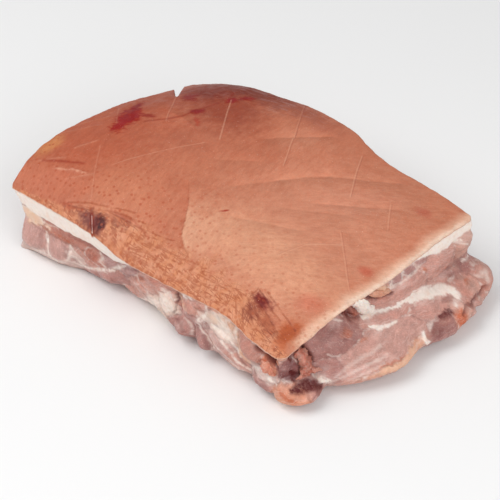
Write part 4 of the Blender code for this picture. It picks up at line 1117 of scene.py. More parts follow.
def tube_faces(columns, rows, index):
    """Quads round a closed wall whose points index(column, row) gives, rows counted downwards."""
    quads = []
    for n in range(columns):
        m = (n + 1) % columns
        quads += [(index(n, k), index(n, k + 1), index(m, k + 1), index(m, k)) for k in range(rows)]
    return quads


def mesh_piece(name, points, faces, material, masks=None, colours=None, vectors=None):
    """A smooth mesh object placed in the frame, with its looks as attributes of its points."""
    mesh = bpy.data.meshes.new(name)
    mesh.from_pydata((ORIGIN + np.asarray(points) * MM).tolist(), [], faces)
    mesh.shade_smooth()
    for label, values in (masks or {}).items():
        mesh.attributes.new(label, "FLOAT", "POINT").data.foreach_set("value", np.ravel(values))
    for label, values in (colours or {}).items():
        full = np.column_stack((np.reshape(values, (-1, 3)), np.ones(len(points))))
        mesh.attributes.new(label, "FLOAT_COLOR", "POINT").data.foreach_set("color", np.ravel(full))
    for label, values in (vectors or {}).items():
        mesh.attributes.new(label, "FLOAT_VECTOR", "POINT").data.foreach_set("vector", np.ravel(values))
    mesh.materials.append(material)
    piece = bpy.data.objects.new(name, mesh)
    bpy.context.collection.objects.link(piece)
    return piece


def inner_grid(cells_long, cells_wide):
    """Shares u and v of a cap's inner points, in rows."""
    long_way, wide_way = np.arange(1, cells_long) / cells_long, np.arange(1, cells_wide) / cells_wide
    v, u = np.meshgrid(wide_way, long_way, indexing="ij")
    return u, v


def padded(values, extra, fill=0.0):
    """Values for a piece's shown points, then the same fill for its hidden ones."""
    values = np.asarray(values, dtype=float)
    return np.concatenate((values, np.full((extra,) + values.shape[1:], fill)))


def build_meat(material):
    """The lean and back fat: the dressed wall with a hidden top under the rind and a flat foot."""
    wall, looks, tones, grain = dress_wall()
    columns, rows = wall.shape[0], wall.shape[1]
    steps = [WALL_STEPS[side] for side in SIDES]
    u, v = inner_grid(*CAP_CELLS)
    top = hidden_inside(u.ravel(), v.ravel(), WALL_START)
    foot = foot_points(wall[:, -1, :2], u[..., None], v[..., None], steps)
    points = np.concatenate((wall.reshape(-1, 3), top, foot))
    shown, extra = columns * rows, len(top) + len(foot)
    top_ring = [n * rows for n in range(columns)]
    foot_ring = [n * rows + rows - 1 for n in range(columns)]
    faces = tube_faces(columns, rows - 1, lambda n, k: n * rows + k)
    faces += cap_faces(*CAP_CELLS, steps, top_ring, shown)
    faces += [face[::-1] for face in cap_faces(*CAP_CELLS, steps, foot_ring, shown + len(top))]
    masks = {kind: padded(values.ravel(), extra) for kind, values in looks.items()}
    tones = np.concatenate((tones.reshape(-1, 3), np.tile(light(LEAN["soft"]), (extra, 1))))
    grain = np.concatenate((grain.reshape(-1, 3), points[shown:]))
    return mesh_piece("meat", points, faces, material, masks, {"tone": tones}, {"grain": grain}), wall


def foot_points(ring, u, v, steps):
    """Inner points of the flat foot, blended between its four edges as the rind is."""
    corners = side_starts(*CAP_CELLS, steps)
    closed = np.vstack((ring, ring[:1]))
    front = closed[corners[0]:corners[1] + 1:steps[0]]
    right = closed[corners[1]:corners[2] + 1:steps[1]]
    back = closed[corners[2]:corners[3] + 1:steps[2]][::-1]
    left = closed[corners[3]::steps[3]][::-1]
    plan = ((1 - v) * front[None, 1:-1] + v * back[None, 1:-1] + (1 - u) * left[1:-1, None]
            + u * right[1:-1, None] - (1 - u) * (1 - v) * front[0] - u * (1 - v) * front[-1]
            - u * v * back[-1] - (1 - u) * v * back[0]).reshape(-1, 2)
    return np.column_stack((plan, np.zeros(len(plan))))


def build_rind(material):
    """The rind as a closed sheet: its dressed top, a rolled cut edge and a plain underside."""
    cells_long, cells_wide = RIND_CELLS
    v, u = np.meshgrid(np.linspace(0, 1, cells_wide + 1), np.linspace(0, 1, cells_long + 1), indexing="ij")
    top, looks, hide, flat = dress_rind(u, v)
    index = np.arange(top.shape[0] * top.shape[1]).reshape(top.shape[:2])
    ring = np.concatenate((index[0, :-1], index[:-1, -1], index[-1, :0:-1], index[:0:-1, 0]))
    top, hide, flat = top.reshape(-1, 3), hide.reshape(-1, 3), flat.reshape(-1, 3)
    edge = top[ring]
    run = np.roll(edge, -2, 0) - np.roll(edge, 2, 0)
    outward = np.column_stack((run[:, 1], -run[:, 0], np.zeros(len(edge))))
    outward /= np.linalg.norm(outward, axis=1)[:, None]
    rows = [edge + outward * out + (0, 0, -(RIND_SIDE - EDGE_ROLL) * share) for share, out, _ in CUT_EDGE]
    coarse = (cells_long // COARSE, cells_wide // COARSE)
    under = hidden_inside(*(shares.ravel() for shares in inner_grid(*coarse)), RIND_SIDE)
    points = np.concatenate([top] + rows + [under])
    quads = np.stack((index[:-1, :-1], index[:-1, 1:], index[1:, 1:], index[1:, :-1]), axis=-1)
    faces = quads.reshape(-1, 4).tolist()
    count, first = len(ring), len(top)
    rings = [ring] + [first + k * count + np.arange(count) for k in range(len(rows))]
    faces += tube_faces(count, len(rows), lambda n, k: int(rings[k][n]))
    under_faces = cap_faces(*coarse, [COARSE] * 4, [int(p) for p in rings[-1]], first + len(rows) * count)
    faces += [face[::-1] for face in under_faces]
    masks = {kind: padded(values.ravel(), len(points) - first) for kind, values in looks.items()}
    left_end = ease(0.3, 0.0, (edge[:, 0] - RIND_CORNERS[0][0]) / LONG)
    side_fat = np.clip(0.55 + 0.5 * rough(edge, 11, 182) + left_end, 0.1, 1)
    for row, (_, _, fatty) in zip(rings[1:], CUT_EDGE):
        masks["cut_fat"][row] = fatty * side_fat
    rim_tan = np.tile(pigment(RIM_TAN), (len(rows) * count, 1))
    hide = np.concatenate((hide, rim_tan, np.tile(light(FAT_WHITE), (len(under), 1))))
    flat = np.concatenate([flat] + [flat[ring]] * len(rows) + [under])
    return mesh_piece("rind", points, faces, material, masks, {"hide": hide}, {"plan": flat})


# ---- loose scraps on the wall ------------------------------------------------------------------

def wall_spot(wall, side, along, depth):
    """A point of the dressed wall, and the directions along the rim, up the wall and out of it."""
    first = sum(SIDE_COLUMNS[before] for before in SIDES[:SIDES.index(side)])
    column = round(first + along / SIDE_LENGTH[side] * SIDE_COLUMNS[side]) % len(wall)
    row = int(np.clip(round(depth * WALL_ROWS), 4, WALL_ROWS - 4))
    along_way = wall[(column + 4) % len(wall), row] - wall[column - 4, row]
    up_way = wall[column, row - 4] - wall[column, row + 4]
    along_way /= np.linalg.norm(along_way)
    out_way = np.cross(along_way, up_way)
    out_way /= np.linalg.norm(out_way)
    return wall[column, row], along_way, np.cross(out_way, along_way), out_way


def lump_mesh(wall, side, along, depth, half_long, half_deep, thick, slant, seed, knobbly=0.22, fine=2.6):
    """Points and faces of one soft, uneven lump half sunk in the wall."""
    middle, along_way, up_way, out_way = wall_spot(wall, side, along, depth)
    columns, rows = LUMP_CELLS
    turn = np.arange(columns) / columns * 2 * math.pi
    fall = np.arange(1, rows) / rows * math.pi
    ball = np.stack((np.outer(np.sin(fall), np.cos(turn)), np.outer(np.sin(fall), np.sin(turn)),
                     np.outer(np.cos(fall), np.ones(columns))), axis=-1).reshape(-1, 3)
    ball = np.concatenate((ball, ((0, 0, 1), (0, 0, -1))))
    swell = 1 + knobbly * rough(ball + seed, 0.7, seed) + 0.06 * rough(ball * 4 + seed, 1.0, seed + 5)
    ball = ball * swell[:, None]
    angle = math.radians(slant)
    long_way = along_way * math.cos(angle) + up_way * math.sin(angle)
    short_way = up_way * math.cos(angle) - along_way * math.sin(angle)
    points = (middle + ball[:, :1] * half_long * long_way + ball[:, 1:2] * half_deep * short_way
              + ball[:, 2:] * thick * out_way)
    points += 0.25 * rough(points, fine, seed + 9)[:, None] * out_way
    faces = tube_faces(columns, rows - 2, lambda n, k: k * columns + n)
    top, bottom, last = len(ball) - 2, len(ball) - 1, (rows - 2) * columns
    for n in range(columns):
        m = (n + 1) % columns
        faces += [(top, n, m), (last + n, bottom, last + m)]
    return points, faces


def strand_mesh(wall, side, stops, seed, flat=0.6):
    """Points and faces of one torn strand: stops of distance along, level, lift and half width."""
    middles, outs = [], []
    for along, depth, lift, _ in stops:
        spot, _, _, out_way = wall_spot(wall, side, along, depth)
        middles.append(spot + lift * out_way)
        outs.append(out_way)
    count, rings = STRAND_CELLS[0], STRAND_CELLS[1] + 1
    share = np.arange(len(stops))
    at = np.linspace(0, len(stops) - 1, rings)
    path = np.column_stack([smooth_curve(at, list(zip(share, column))) for column in np.array(middles).T])
    out = np.column_stack([np.interp(at, share, column) for column in np.array(outs).T])
    width = smooth_curve(at, list(zip(share, [stop[3] for stop in stops])))
    run = np.gradient(path, axis=0)
    run /= np.linalg.norm(run, axis=1)[:, None]
    across = np.cross(run, out)
    across /= np.linalg.norm(across, axis=1)[:, None]
    out = np.cross(across, run)
    turn = np.arange(count) / count * 2 * math.pi
    round_way = np.stack((np.cos(turn), np.sin(turn)), axis=-1)
    seeds = np.stack((np.repeat(at[:, None], count, 1) * 2.2,
                      np.repeat(round_way[None, :, 0], rings, 0) * 1.3,
                      np.full((rings, count), float(seed))), axis=-1)
    ragged = 1 + 0.5 * rough(seeds, 0.7, seed) + 0.35 * rough(seeds * 3.1, 0.8, seed + 3)
    size = width[:, None] * ragged
    points = (path[:, None] + (size * round_way[None, :, 0])[..., None] * across[:, None]
              + (flat * size * round_way[None, :, 1])[..., None] * out[:, None]).reshape(-1, 3)
    faces = tube_faces(count, rings - 1, lambda n, k: k * count + (count - n) % count)
    faces += [tuple(range(count)), tuple(reversed(range((rings - 1) * count, rings * count)))]
    return points, faces


def join(parts):
    """Points and faces of several closed shapes as one mesh."""
    points, faces = [], []
    for shape_points, shape_faces in parts:
        first = sum(len(p) for p in points)
        points.append(shape_points)
        faces += [tuple(first + p for p in face) for face in shape_faces]
    return np.concatenate(points), faces


# Slot, material, lean tone, share of fat and how tan the fat is, by piece.
SCRAPS = {
    "fat_lumps": ("fat", "white fat lump", (230, 205, 190), 0.95, 0.0),
    "tan_flap": ("fat", "tan fat flap", (192, 120, 94), 0.28, 0.9),
    "orange_knob": ("lean", "rough orange scrap", (202, 118, 92), 0.12, 0.7),
    "torn_shreds": ("lean", "torn pink lean", (190, 110, 90), 0.10, 0.3),
}
# Lumps: side, distance along, level, half length, half depth, how thick, slant, seed.
FAT_LUMPS = (
    ("right", 77, 0.16, 9.5, 5.0, 3.0, -58, 3), ("right", 83, 0.26, 5.0, 4.2, 2.8, -20, 4),
    ("right", 72, 0.07, 5.0, 3.4, 2.2, -56, 5),
)
TAN_FLAPS = (("right", 90, 0.06, 7.0, 2.2, 3.2, -14, 12), ("right", 97, 0.105, 6.0, 1.9, 2.8, -14, 13))
KNOBS = (("front", 248, 0.36, 5.2, 4.2, 2.8, -30, 21), ("front", 251, 0.43, 3.4, 2.4, 2.2, -30, 22),
         ("front", 256, 0.22, 3.0, 1.6, 1.2, 10, 23))
# Torn strips: stops of distance along, level, lift off the wall and half width.
SHREDS = (
    ((17, 0.1, 0.6, 2.6), (18, 0.18, 2.2, 4.6), (19, 0.28, 3.0, 5.6), (20, 0.38, 3.2, 5.8),
     (20, 0.48, 2.8, 5.2), (20, 0.56, 1.2, 3.0)),
    ((22, 0.2, 1.8, 1.6), (24.5, 0.3, 3.4, 2.4), (25.5, 0.38, 3.4, 2.2), (26, 0.45, 2.0, 1.0)),
    ((13, 0.56, 0.8, 0.4), (17, 0.53, 2.6, 1.8), (22, 0.52, 3.4, 2.8), (27, 0.55, 3.0, 2.2),
     (33, 0.59, 1.2, 0.4)),
)


# ---- shader helpers ------------------------------------------------------------------------------

def fill(tree, node, sockets):
    """Fill a node's sockets with values, or link them to other sockets."""
    for name, value in sockets.items():
        if isinstance(value, bpy.types.NodeSocket):
            tree.links.new(value, node.inputs[name])
        else:
            node.inputs[name].default_value = value


def put(tree, kind, sockets, **settings):
    """A node of this kind with its settings and its sockets."""
    made = tree.nodes.new(kind)
    for name, value in settings.items():
        setattr(made, name, value)
    fill(tree, made, sockets)
    return made


def reading(tree, label, output="Fac"):
    return put(tree, "ShaderNodeAttribute", {}, attribute_name=label).outputs[output]


def sums(tree, operation, first, *others):
    """The values put together one after the other by this kind of sum."""
    for other in others or (0.0,):
        first = put(tree, "ShaderNodeMath", {0: first, 1: other}, operation=operation).outputs[0]
    return first


def times(tree, *values):
    return sums(tree, "MULTIPLY", *values)


def off_middle(tree, noise):
    """How far noise from 0 to 1 is from its middle."""
    return sums(tree, "ABSOLUTE", sums(tree, "SUBTRACT", noise, 0.5))


def rest(tree, share):
    return sums(tree, "SUBTRACT", 1.0, share)


def spread(tree, value, low, high, at_low=0.0, at_high=1.0):
    """The value eased from one range to another."""
    sockets = {"Value": value, "From Min": low, "From Max": high, "To Min": at_low, "To Max": at_high}
    return put(tree, "ShaderNodeMapRange", sockets, interpolation_type="SMOOTHSTEP").outputs["Result"]


def mixed(tree, share, first, second, blend="MIX"):
    made = put(tree, "ShaderNodeMix", {0: share, 6: first, 7: second}, data_type="RGBA", blend_type=blend)
    return made.outputs[2]


def speckle(tree, place, size, detail=2.0, stir=0.0):
    """Noise from 0 to 1 with lumps of the given size."""
    sockets = {"Vector": place, "Scale": 1 / size, "Detail": detail, "Distortion": stir}
    return put(tree, "ShaderNodeTexNoise", sockets).outputs["Fac"]


def scaled(tree, vector, factor):
    return put(tree, "ShaderNodeVectorMath", {0: vector, "Scale": factor}, operation="SCALE").outputs[0]


def stretched(tree, vector, sizes):
    """The vector divided by a size for each way."""
    return put(tree, "ShaderNodeVectorMath", {0: vector, 1: sizes}, operation="DIVIDE").outputs[0]


def paint(colour):
    """A seen colour as a shader colour."""
    return (*light(colour).tolist(), 1.0)


def place_in_mm(tree):
    """The point's place on the object in millimetres."""
    return scaled(tree, tree.nodes.new("ShaderNodeTexCoord").outputs["Object"], 1 / MM)


KINDS = {"value": "NodeSocketFloat", "colour": "NodeSocketColor", "vector": "NodeSocketVector"}


def new_group(name, inputs, outputs):
    """A shader node group and its two end nodes; inputs and outputs are (name, kind) pairs."""
    tree = bpy.data.node_groups.new(name, "ShaderNodeTree")
    for label, kind in inputs:
        tree.interface.new_socket(name=label, in_out="INPUT", socket_type=KINDS[kind])
    for label, kind in outputs:
        tree.interface.new_socket(name=label, in_out="OUTPUT", socket_type=KINDS[kind])
    return tree, tree.nodes.new("NodeGroupInput").outputs, tree.nodes.new("NodeGroupOutput")


def uneven_colour_group():
    """A colour made lighter and darker in lumps of the given size."""
    takes = (("Colour", "colour"), ("Place", "vector"), ("Size", "value"), ("Amount", "value"))
    tree, take, give = new_group("uneven colour", takes, (("Colour", "colour"),))
    noise = speckle(tree, stretched(tree, take["Place"], take["Size"]), 1.0, 3.0)
    swing = times(tree, spread(tree, noise, 0.25, 0.75, -1.0, 1.0), take["Amount"])
    fill(tree, give, {"Colour": scaled(tree, take["Colour"], sums(tree, "ADD", swing, 1.0))})
    return tree


def moist_film_group():
    """The wet film on cut meat: glossier and drier patches, and a finely pitted surface."""
    tree, take, give = new_group("moist film", (("Place", "vector"), ("Dry", "value"), ("Wet", "value")),
                                 (("Roughness", "value"), ("Coat", "value"), ("Height", "value")))
    pits = speckle(tree, take["Place"], 0.9, 2.0)
    wet = spread(tree, speckle(tree, take["Place"], 9.0, 3.0, 0.6), 0.35, 0.65)
    smoother = times(tree, wet, sums(tree, "SUBTRACT", take["Dry"], take["Wet"]))
    roughness = sums(tree, "ADD", sums(tree, "SUBTRACT", take["Dry"], smoother), times(tree, pits, 0.10))
    fill(tree, give, {"Roughness": roughness, "Coat": times(tree, wet, 0.45), "Height": pits})
    return tree


def fibre_group():
    """Strands of lean along the grain: pale and dark streaks, threads of marbling and their height."""
    takes = (("Grain", "vector"), ("Width", "value"), ("Length", "value"))
    gives = (("Streak", "value"), ("Thread", "value"), ("Line", "value"), ("Height", "value"))
    tree, take, give = new_group("lean fibres", takes, gives)

    def noise(place, scale, detail, **more):
        sockets = {"Vector": place, "Scale": scale, "Detail": detail, **more}
        return put(tree, "ShaderNodeTexNoise", sockets).outputs["Fac"]

    size = put(tree, "ShaderNodeCombineXYZ", {0: take["Length"], 1: take["Width"], 2: 1.0}).outputs[0]
    drawn = stretched(tree, take["Grain"], size)
    longer = put(tree, "ShaderNodeVectorMath", {0: drawn, 1: (0.22, 0.5, 1.0)},
                 operation="MULTIPLY").outputs[0]
    strands = noise(drawn, 1.0, 3.0, Roughness=0.6, Distortion=0.5)
    threads = noise(drawn, 0.55, 2.0, Roughness=0.6, Distortion=0.3)
    fill(tree, give, {
        "Line": spread(tree, off_middle(tree, noise(longer, 1.0, 0.0)), 0.05, 0.0),
        "Streak": spread(tree, strands, 0.32, 0.68), "Thread": spread(tree, threads, 0.56, 0.70),
        "Height": strands,
    })
    return tree


def fat_group():
    """Back fat: cream white, tan where it has dried, in soft lobules."""
    tree, take, give = new_group("fat", (("Place", "vector"), ("Tan", "value")),
                                 (("Colour", "colour"), ("Height", "value")))
    cells = speckle(tree, take["Place"], 2.0, 2.0, 0.4)
    blush = spread(tree, speckle(tree, take["Place"], 6.0, 3.0, 0.5), 0.5, 0.75, 0.0, 0.30)
    tan = put(tree, "ShaderNodeMath", {0: take["Tan"], 1: blush}, operation="ADD", use_clamp=True).outputs[0]
    colour = mixed(tree, tan, paint(FAT_WHITE), paint(FAT_TAN))
    colour = mixed(tree, spread(tree, cells, 0.45, 0.7, 0.0, 0.22), colour, paint(FAT_BLUSH))
    fill(tree, give, {"Colour": colour, "Height": times(tree, cells, -1.0)})
    return tree


LEFT_LIE, RIGHT_LIE = 100.0, 47.0            # ways that the rind's fine strokes run, from its length
MOTTLE_SHADE = (0.93, 0.86, 0.83, 1.0)       # what is left of the skin's colour in its darker mottles
PORE_GAP = 5.0
GROUPS = {
    "uneven": uneven_colour_group(), "film": moist_film_group(), "fibres": fibre_group(), "fat": fat_group(),
}


def use(tree, group, **sockets):
    """A placed group's outputs."""
    made = put(tree, "ShaderNodeGroup", {}, node_tree=GROUPS[group])
    fill(tree, made, sockets)
    return made.outputs


FLESH_SCATTER = (1.0, 0.42, 0.28)            # how far red, green and blue go under the surface, as shares
FLESH_IOR, FLESH_SPECULAR = 1.42, 0.35


def flesh_material(name, under_skin, scatter_mm, coat_roughness):
    """A moist material with light scattered under its surface, and its shader to wire up."""
    material = bpy.data.materials.new(name)
    material.use_nodes = True
    shader = material.node_tree.nodes["Principled BSDF"]
    shader.inputs["Subsurface Weight"].default_value = under_skin
    shader.inputs["Subsurface Radius"].default_value = FLESH_SCATTER
    shader.inputs["Subsurface Scale"].default_value = scatter_mm * MM
    shader.inputs["IOR"].default_value = FLESH_IOR
    shader.inputs["Specular IOR Level"].default_value = FLESH_SPECULAR
    shader.inputs["Coat Roughness"].default_value = coat_roughness
    return material, material.node_tree, shader


def wire(tree, shader, colour, roughness, coat, height, depth_mm):
    """Colour, gloss and relief into the shader; the height is 0 to 1 over that depth."""
    bump = put(tree, "ShaderNodeBump", {"Strength": 1.0, "Distance": depth_mm * MM, "Height": height})
    fill(tree, shader, {"Base Color": colour, "Roughness": roughness, "Coat Weight": coat,
                        "Normal": bump.outputs["Normal"]})


# ---- materials -------------------------------------------------------------------------------------

def lean_colour(tree, tone, place, streaks, lined=0.0):
    """Lean meat: its own tone, drawn into strands, mottled and threaded with fine marbling,
    with painted glints of its wet film as tiny pale specks.
    """
    even = use(tree, "uneven", Colour=tone, Place=place, Size=6.0, Amount=0.08)["Colour"]
    even = use(tree, "uneven", Colour=even, Place=place, Size=1.4, Amount=0.07)["Colour"]
    drawn = scaled(tree, even, spread(tree, streaks["Streak"], 0.0, 1.0, 0.93, 1.06))
    marbled = spread(tree, speckle(tree, place, 13.0, 2.0, 0.5), 0.36, 0.62, 0.25, 1.0)
    threads = times(tree, streaks["Thread"], marbled, 0.22)
    flecks = spread(tree, speckle(tree, place, 2.6, 3.0, 1.2), 0.60, 0.72, 0.0, 0.18)
    # painted glints: tiny pale specks that stand in for highlights on the wet film
    painted_glints = spread(tree, speckle(tree, place, 0.7, 1.0), 0.64, 0.74, 0.0, 0.40)
    pale = sums(tree, "MAXIMUM", flecks, painted_glints, threads, times(tree, streaks["Line"], lined))
    return mixed(tree, pale, drawn, paint(MARBLING_AND_GLINT))


def meat_material():
    material, tree, shader = flesh_material("raw lean and back fat", 0.12, 1.6, 0.2)
    place = place_in_mm(tree)
    streaks = use(tree, "fibres", Grain=reading(tree, "grain", "Vector"), Width=1.2, Length=8.0)
    tan, white = reading(tree, "tan"), reading(tree, "fat")
    fat = use(tree, "fat", Place=place, Tan=tan)
    colour = lean_colour(tree, reading(tree, "tone", "Color"), place, streaks, reading(tree, "lined"))
    skin = times(tree, reading(tree, "silver"), spread(tree, streaks["Thread"], 0.0, 1.0, 0.5, 0.95))
    colour = mixed(tree, skin, colour, paint(SILVER_SKIN))
    colour = mixed(tree, times(tree, tan, 0.75), colour, paint(FAT_TAN))
    colour = mixed(tree, white, colour, fat["Colour"])
    clots = spread(tree, speckle(tree, place, 2.0, 3.0, 0.8), 0.3, 0.6, 0.7, 1.0)
    colour = mixed(tree, times(tree, reading(tree, "blood"), clots), colour, paint(BLOOD))
    colour = mixed(tree, times(tree, reading(tree, "shade"), 0.9), colour, paint(SHADE))
    film = use(tree, "film", Place=place, Dry=0.48, Wet=0.30)
    fibres = times(tree, streaks["Height"], 0.5, rest(tree, times(tree, white, 0.7)))
    height = sums(tree, "ADD", fibres, times(tree, film["Height"], 0.35))
    wire(tree, shader, colour, film["Roughness"], film["Coat"], height, 0.5)
    return material


def strokes(tree, plan, turn, length, width, at=0.0, detail=2.0, bend=0.5):
    """Noise from 0 to 1 drawn out along one way of the rind."""
    place = put(tree, "ShaderNodeMapping", {"Vector": plan, "Location": (at, at, 0.0)}).outputs[0]
    turned = put(tree, "ShaderNodeVectorRotate", {"Vector": place, "Angle": math.radians(-turn)},
                 rotation_type="Z_AXIS").outputs[0]
    return speckle(tree, stretched(tree, turned, (length, width, 1.0)), 1.0, detail, bend)


def crease_lines(tree, plan, turn, length, width, at, thin):
    """Fine lines, 1 on the line, that run mostly one way over the rind."""
    noise = strokes(tree, plan, turn, length, width, at, 0.0, 0.05)
    return spread(tree, off_middle(tree, noise), thin, 0.0)


def rind_skin_colour(tree, place, plan):
    """The skin's own colour, mottled and drawn into fine strokes, and the strokes by themselves."""
    lie = reading(tree, "lie")

    def by_lie(length, width, at):
        left = strokes(tree, plan, LEFT_LIE, length, width, at)
        right = strokes(tree, plan, RIGHT_LIE, length, width, at)
        return put(tree, "ShaderNodeMix", {0: lie, 2: left, 3: right}).outputs[0]

    hide = reading(tree, "hide", "Color")
    colour = use(tree, "uneven", Colour=hide, Place=place, Size=13.0, Amount=0.04)["Colour"]
    mottle = spread(tree, by_lie(10.0, 3.6, 31.0), 0.36, 0.66)
    colour = mixed(tree, mottle, colour, mixed(tree, 1.0, colour, MOTTLE_SHADE, "MULTIPLY"))
    fine = spread(tree, by_lie(3.4, 1.0, 0.0), 0.3, 0.7, 0.92, 1.0)
    colour = scaled(tree, colour, fine)
    return use(tree, "uneven", Colour=colour, Place=place, Size=1.0, Amount=0.045)["Colour"], fine


def rind_pores(tree, plan):
    """Bristle pores, 1 in their middles."""
    dots = put(tree, "ShaderNodeTexVoronoi", {"Vector": plan, "Scale": 1 / PORE_GAP, "Randomness": 0.85},
               voronoi_dimensions="2D").outputs["Distance"]
    patchy = spread(tree, speckle(tree, plan, 7.0, 2.0), 0.38, 0.6, 0.3, 1.0)
    return times(tree, spread(tree, dots, 0.26, 0.12), reading(tree, "pores"), patchy)


def rind_creases(tree, plan, belt, bruised):
    """The belt's and the bruises' fine creases with the fans of creases, 1 on each line."""
    lengthways = sums(tree, "MAXIMUM", crease_lines(tree, plan, 3.0, 22.0, 3.2, 7.0, 0.075),
                      crease_lines(tree, plan, -13.0, 18.0, 3.4, 19.0, 0.07))
    crossing = crease_lines(tree, plan, 118.0, 14.0, 3.2, 41.0, 0.07)
    web = sums(tree, "MAXIMUM", lengthways, times(tree, crossing, 0.8))
    where = sums(tree, "MAXIMUM", belt, times(tree, bruised, 0.5))
    patches = speckle(tree, plan, 5.0, 2.0)
    web = times(tree, web, where, spread(tree, patches, 0.36, 0.58, 0.15, 1.0))
    fans = spread(tree, reading(tree, "crease_gap"), 0.3, 0.95, 0.75, 0.0)
    return sums(tree, "MAXIMUM", web, times(tree, fans, spread(tree, patches, 0.36, 0.56, 0.25, 1.0)))


def rind_material():
    material, tree, shader = flesh_material("pork rind", 0.10, 1.2, 0.35)
    place, plan = place_in_mm(tree), reading(tree, "plan", "Vector")
    belt, bruised, cut = (reading(tree, label) for label in ("belt", "bruised", "cut"))
    colour, fine = rind_skin_colour(tree, place, plan)
    pores = rind_pores(tree, plan)
    creases = rind_creases(tree, plan, belt, bruised)
    blotches = spread(tree, speckle(tree, plan, 9.0, 4.0), 0.40, 0.66, 0.0, 0.5)
    veil = spread(tree, strokes(tree, plan, 4.0, 14.0, 1.4, 3.0), 0.50, 0.66)
    pale_line = spread(tree, sums(tree, "ABSOLUTE", cut), 0.30, 0.75, 1.0, 0.0)
    # painted shade along one side of each knife score
    score_shade_line = spread(tree, sums(tree, "ABSOLUTE", sums(tree, "SUBTRACT", cut, 0.85)), 0.2, 0.7, 1.0, 0.0)
    glints = spread(tree, speckle(tree, place, 0.8, 1.0), 0.73, 0.80, 0.0, 0.6)
    fat = use(tree, "fat", Place=place, Tan=0.10)
    layers = (
        (times(tree, pores, 0.75), paint(PORE_BROWN)),
        (times(tree, belt, blotches, rest(tree, bruised)), paint(BELT_STAIN)),
        # the creases: partly their own darker colour and partly painted shade
        (times(tree, creases, 0.8), mixed(tree, bruised, paint(BELT_CREASE_SHADE), paint(BRUISE_CREASE_SHADE))),
        (times(tree, veil, reading(tree, "grey_and_shade"), 0.3), paint(GREY_VEIL_AND_SHADE)),
        (times(tree, pale_line, reading(tree, "score"), 0.45), paint(SCORE_PALE)),
        (times(tree, score_shade_line, reading(tree, "score_shade"), 0.7), paint(SCORE_SHADE)),
        (glints, paint(GLINT)),
        (reading(tree, "cut_fat"), fat["Colour"]),
    )
    for share, over in layers:
        colour = mixed(tree, share, colour, over)
    film = use(tree, "film", Place=place, Dry=0.52, Wet=0.40)
    height = sums(tree, "ADD", times(tree, film["Height"], 0.4), times(tree, pores, -0.25),
                  times(tree, creases, -0.5), fine)
    wire(tree, shader, colour, film["Roughness"], times(tree, film["Coat"], 0.2), height, 0.3)
    return material


def scrap_material(name, tone, fatty, tan):
    """A torn scrap: lean of one tone, or fat, as fatty goes from 0 to 1."""
    material, tree, shader = flesh_material(name, 0.15, 1.6, 0.22)
    place = place_in_mm(tree)
    streaks = use(tree, "fibres", Grain=place, Width=1.0, Length=2.6)
    fat = use(tree, "fat", Place=place, Tan=tan)
    colour = lean_colour(tree, paint(tone), place, streaks)
    share = spread(tree, speckle(tree, place, 5.0, 2.0), 0.3, 0.7, fatty - 0.12, fatty + 0.12)
    colour = mixed(tree, share, colour, fat["Colour"])
    film = use(tree, "film", Place=place, Dry=0.44, Wet=0.26)
    height = sums(tree, "ADD", times(tree, streaks["Height"], 0.8), times(tree, fat["Height"], 0.3))
    wire(tree, shader, colour, film["Roughness"], film["Coat"], height, 0.5)
    return material


# ---- the studio ------------------------------------------------------------------------------------

CAMERA_TURN, CAMERA_LIFT = 44.0, 39.0        # degrees round from the front, and above the table
CAMERA_DISTANCE = 1.5
CAMERA_AIM = Vector((0.0067, -0.0132, 0.030))
LENS, SENSOR = 150.0, 36.0
FLOOR_HALF = 3.0
FLOOR_GAP = 0.0002                           # the table top is this far under the meat
FLOOR_TONES = ((0.86, 0.86, 0.86, 1.0), (0.88, 0.88, 0.88, 1.0))
FLOOR_ROUGHNESS = 0.9
# Softboxes: place, size, watts.
LIGHTS = {
    "key": ((-0.5, -0.9, 1.5), 1.3, 17.0),
    "fill": ((1.4, -0.5, 1.1), 1.2, 13.0),
    "top": ((0.1, 0.5, 1.7), 1.6, 1.5),
}
SKY = 0.45


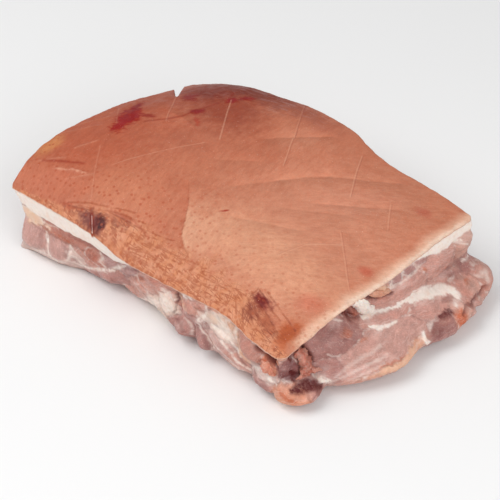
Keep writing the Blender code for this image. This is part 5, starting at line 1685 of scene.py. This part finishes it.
def build_floor():
    """A plain pale table top."""
    mesh = bpy.data.meshes.new("floor")
    corners = [(x * FLOOR_HALF, y * FLOOR_HALF, LOW.z - FLOOR_GAP)
               for x, y in ((-1, -1), (1, -1), (1, 1), (-1, 1))]
    mesh.from_pydata(corners, [], [(0, 1, 2, 3)])
    material = bpy.data.materials.new("pale table")
    material.use_nodes = True
    tree = material.node_tree
    shader = tree.nodes["Principled BSDF"]
    place = tree.nodes.new("ShaderNodeTexCoord").outputs["Object"]
    colour = mixed(tree, speckle(tree, place, 0.3), *FLOOR_TONES)
    tree.links.new(colour, shader.inputs["Base Color"])
    shader.inputs["Roughness"].default_value = FLOOR_ROUGHNESS
    mesh.materials.append(material)
    floor = bpy.data.objects.new("floor", mesh)
    bpy.context.collection.objects.link(floor)
    return floor


def build_studio():
    """Softboxes, a pale sky and the camera."""
    for name, (place, size, watts) in LIGHTS.items():
        lamp = bpy.data.lights.new(name, "AREA")
        lamp.shape, lamp.size, lamp.energy = "SQUARE", size, watts
        box = bpy.data.objects.new(name, lamp)
        box.location = place
        box.rotation_euler = (CAMERA_AIM - Vector(place)).to_track_quat("-Z", "Y").to_euler()
        bpy.context.collection.objects.link(box)
    world = bpy.data.worlds.new("pale sky")
    world.use_nodes = True
    world.node_tree.nodes["Background"].inputs["Color"].default_value = (1.0, 1.0, 1.0, 1.0)
    world.node_tree.nodes["Background"].inputs["Strength"].default_value = SKY
    bpy.context.scene.world = world
    turn, lift = math.radians(CAMERA_TURN), math.radians(CAMERA_LIFT)
    back = Vector((math.sin(turn) * math.cos(lift), -math.cos(turn) * math.cos(lift), math.sin(lift)))
    camera = bpy.data.objects.new("camera", bpy.data.cameras.new("camera"))
    camera.data.lens, camera.data.sensor_width = LENS, SENSOR
    camera.location = CAMERA_AIM + back * CAMERA_DISTANCE
    camera.rotation_euler = (-back).to_track_quat("-Z", "Y").to_euler()
    bpy.context.collection.objects.link(camera)
    bpy.context.scene.camera = camera
    bpy.context.scene.view_settings.view_transform = "Standard"


def main():
    meat, wall = build_meat(meat_material())
    rind = build_rind(rind_material())
    scraps = {
        "fat_lumps": [lump_mesh(wall, *values) for values in FAT_LUMPS],
        "tan_flap": [lump_mesh(wall, *values) for values in TAN_FLAPS],
        "orange_knob": [lump_mesh(wall, *values, knobbly=0.4, fine=1.6) for values in KNOBS],
        "torn_shreds": [strand_mesh(wall, "right", stops, 31 + i) for i, stops in enumerate(SHREDS)],
    }
    pieces = [(meat, "lean"), (rind, "rind")]
    for name, parts in scraps.items():
        slot, material, *finish = SCRAPS[name]
        pieces.append((mesh_piece(name, *join(parts), scrap_material(material, *finish)), slot))
    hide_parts(NODE)
    for piece, slot in pieces:
        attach(piece, "root")
    build_floor()
    build_studio()


main()
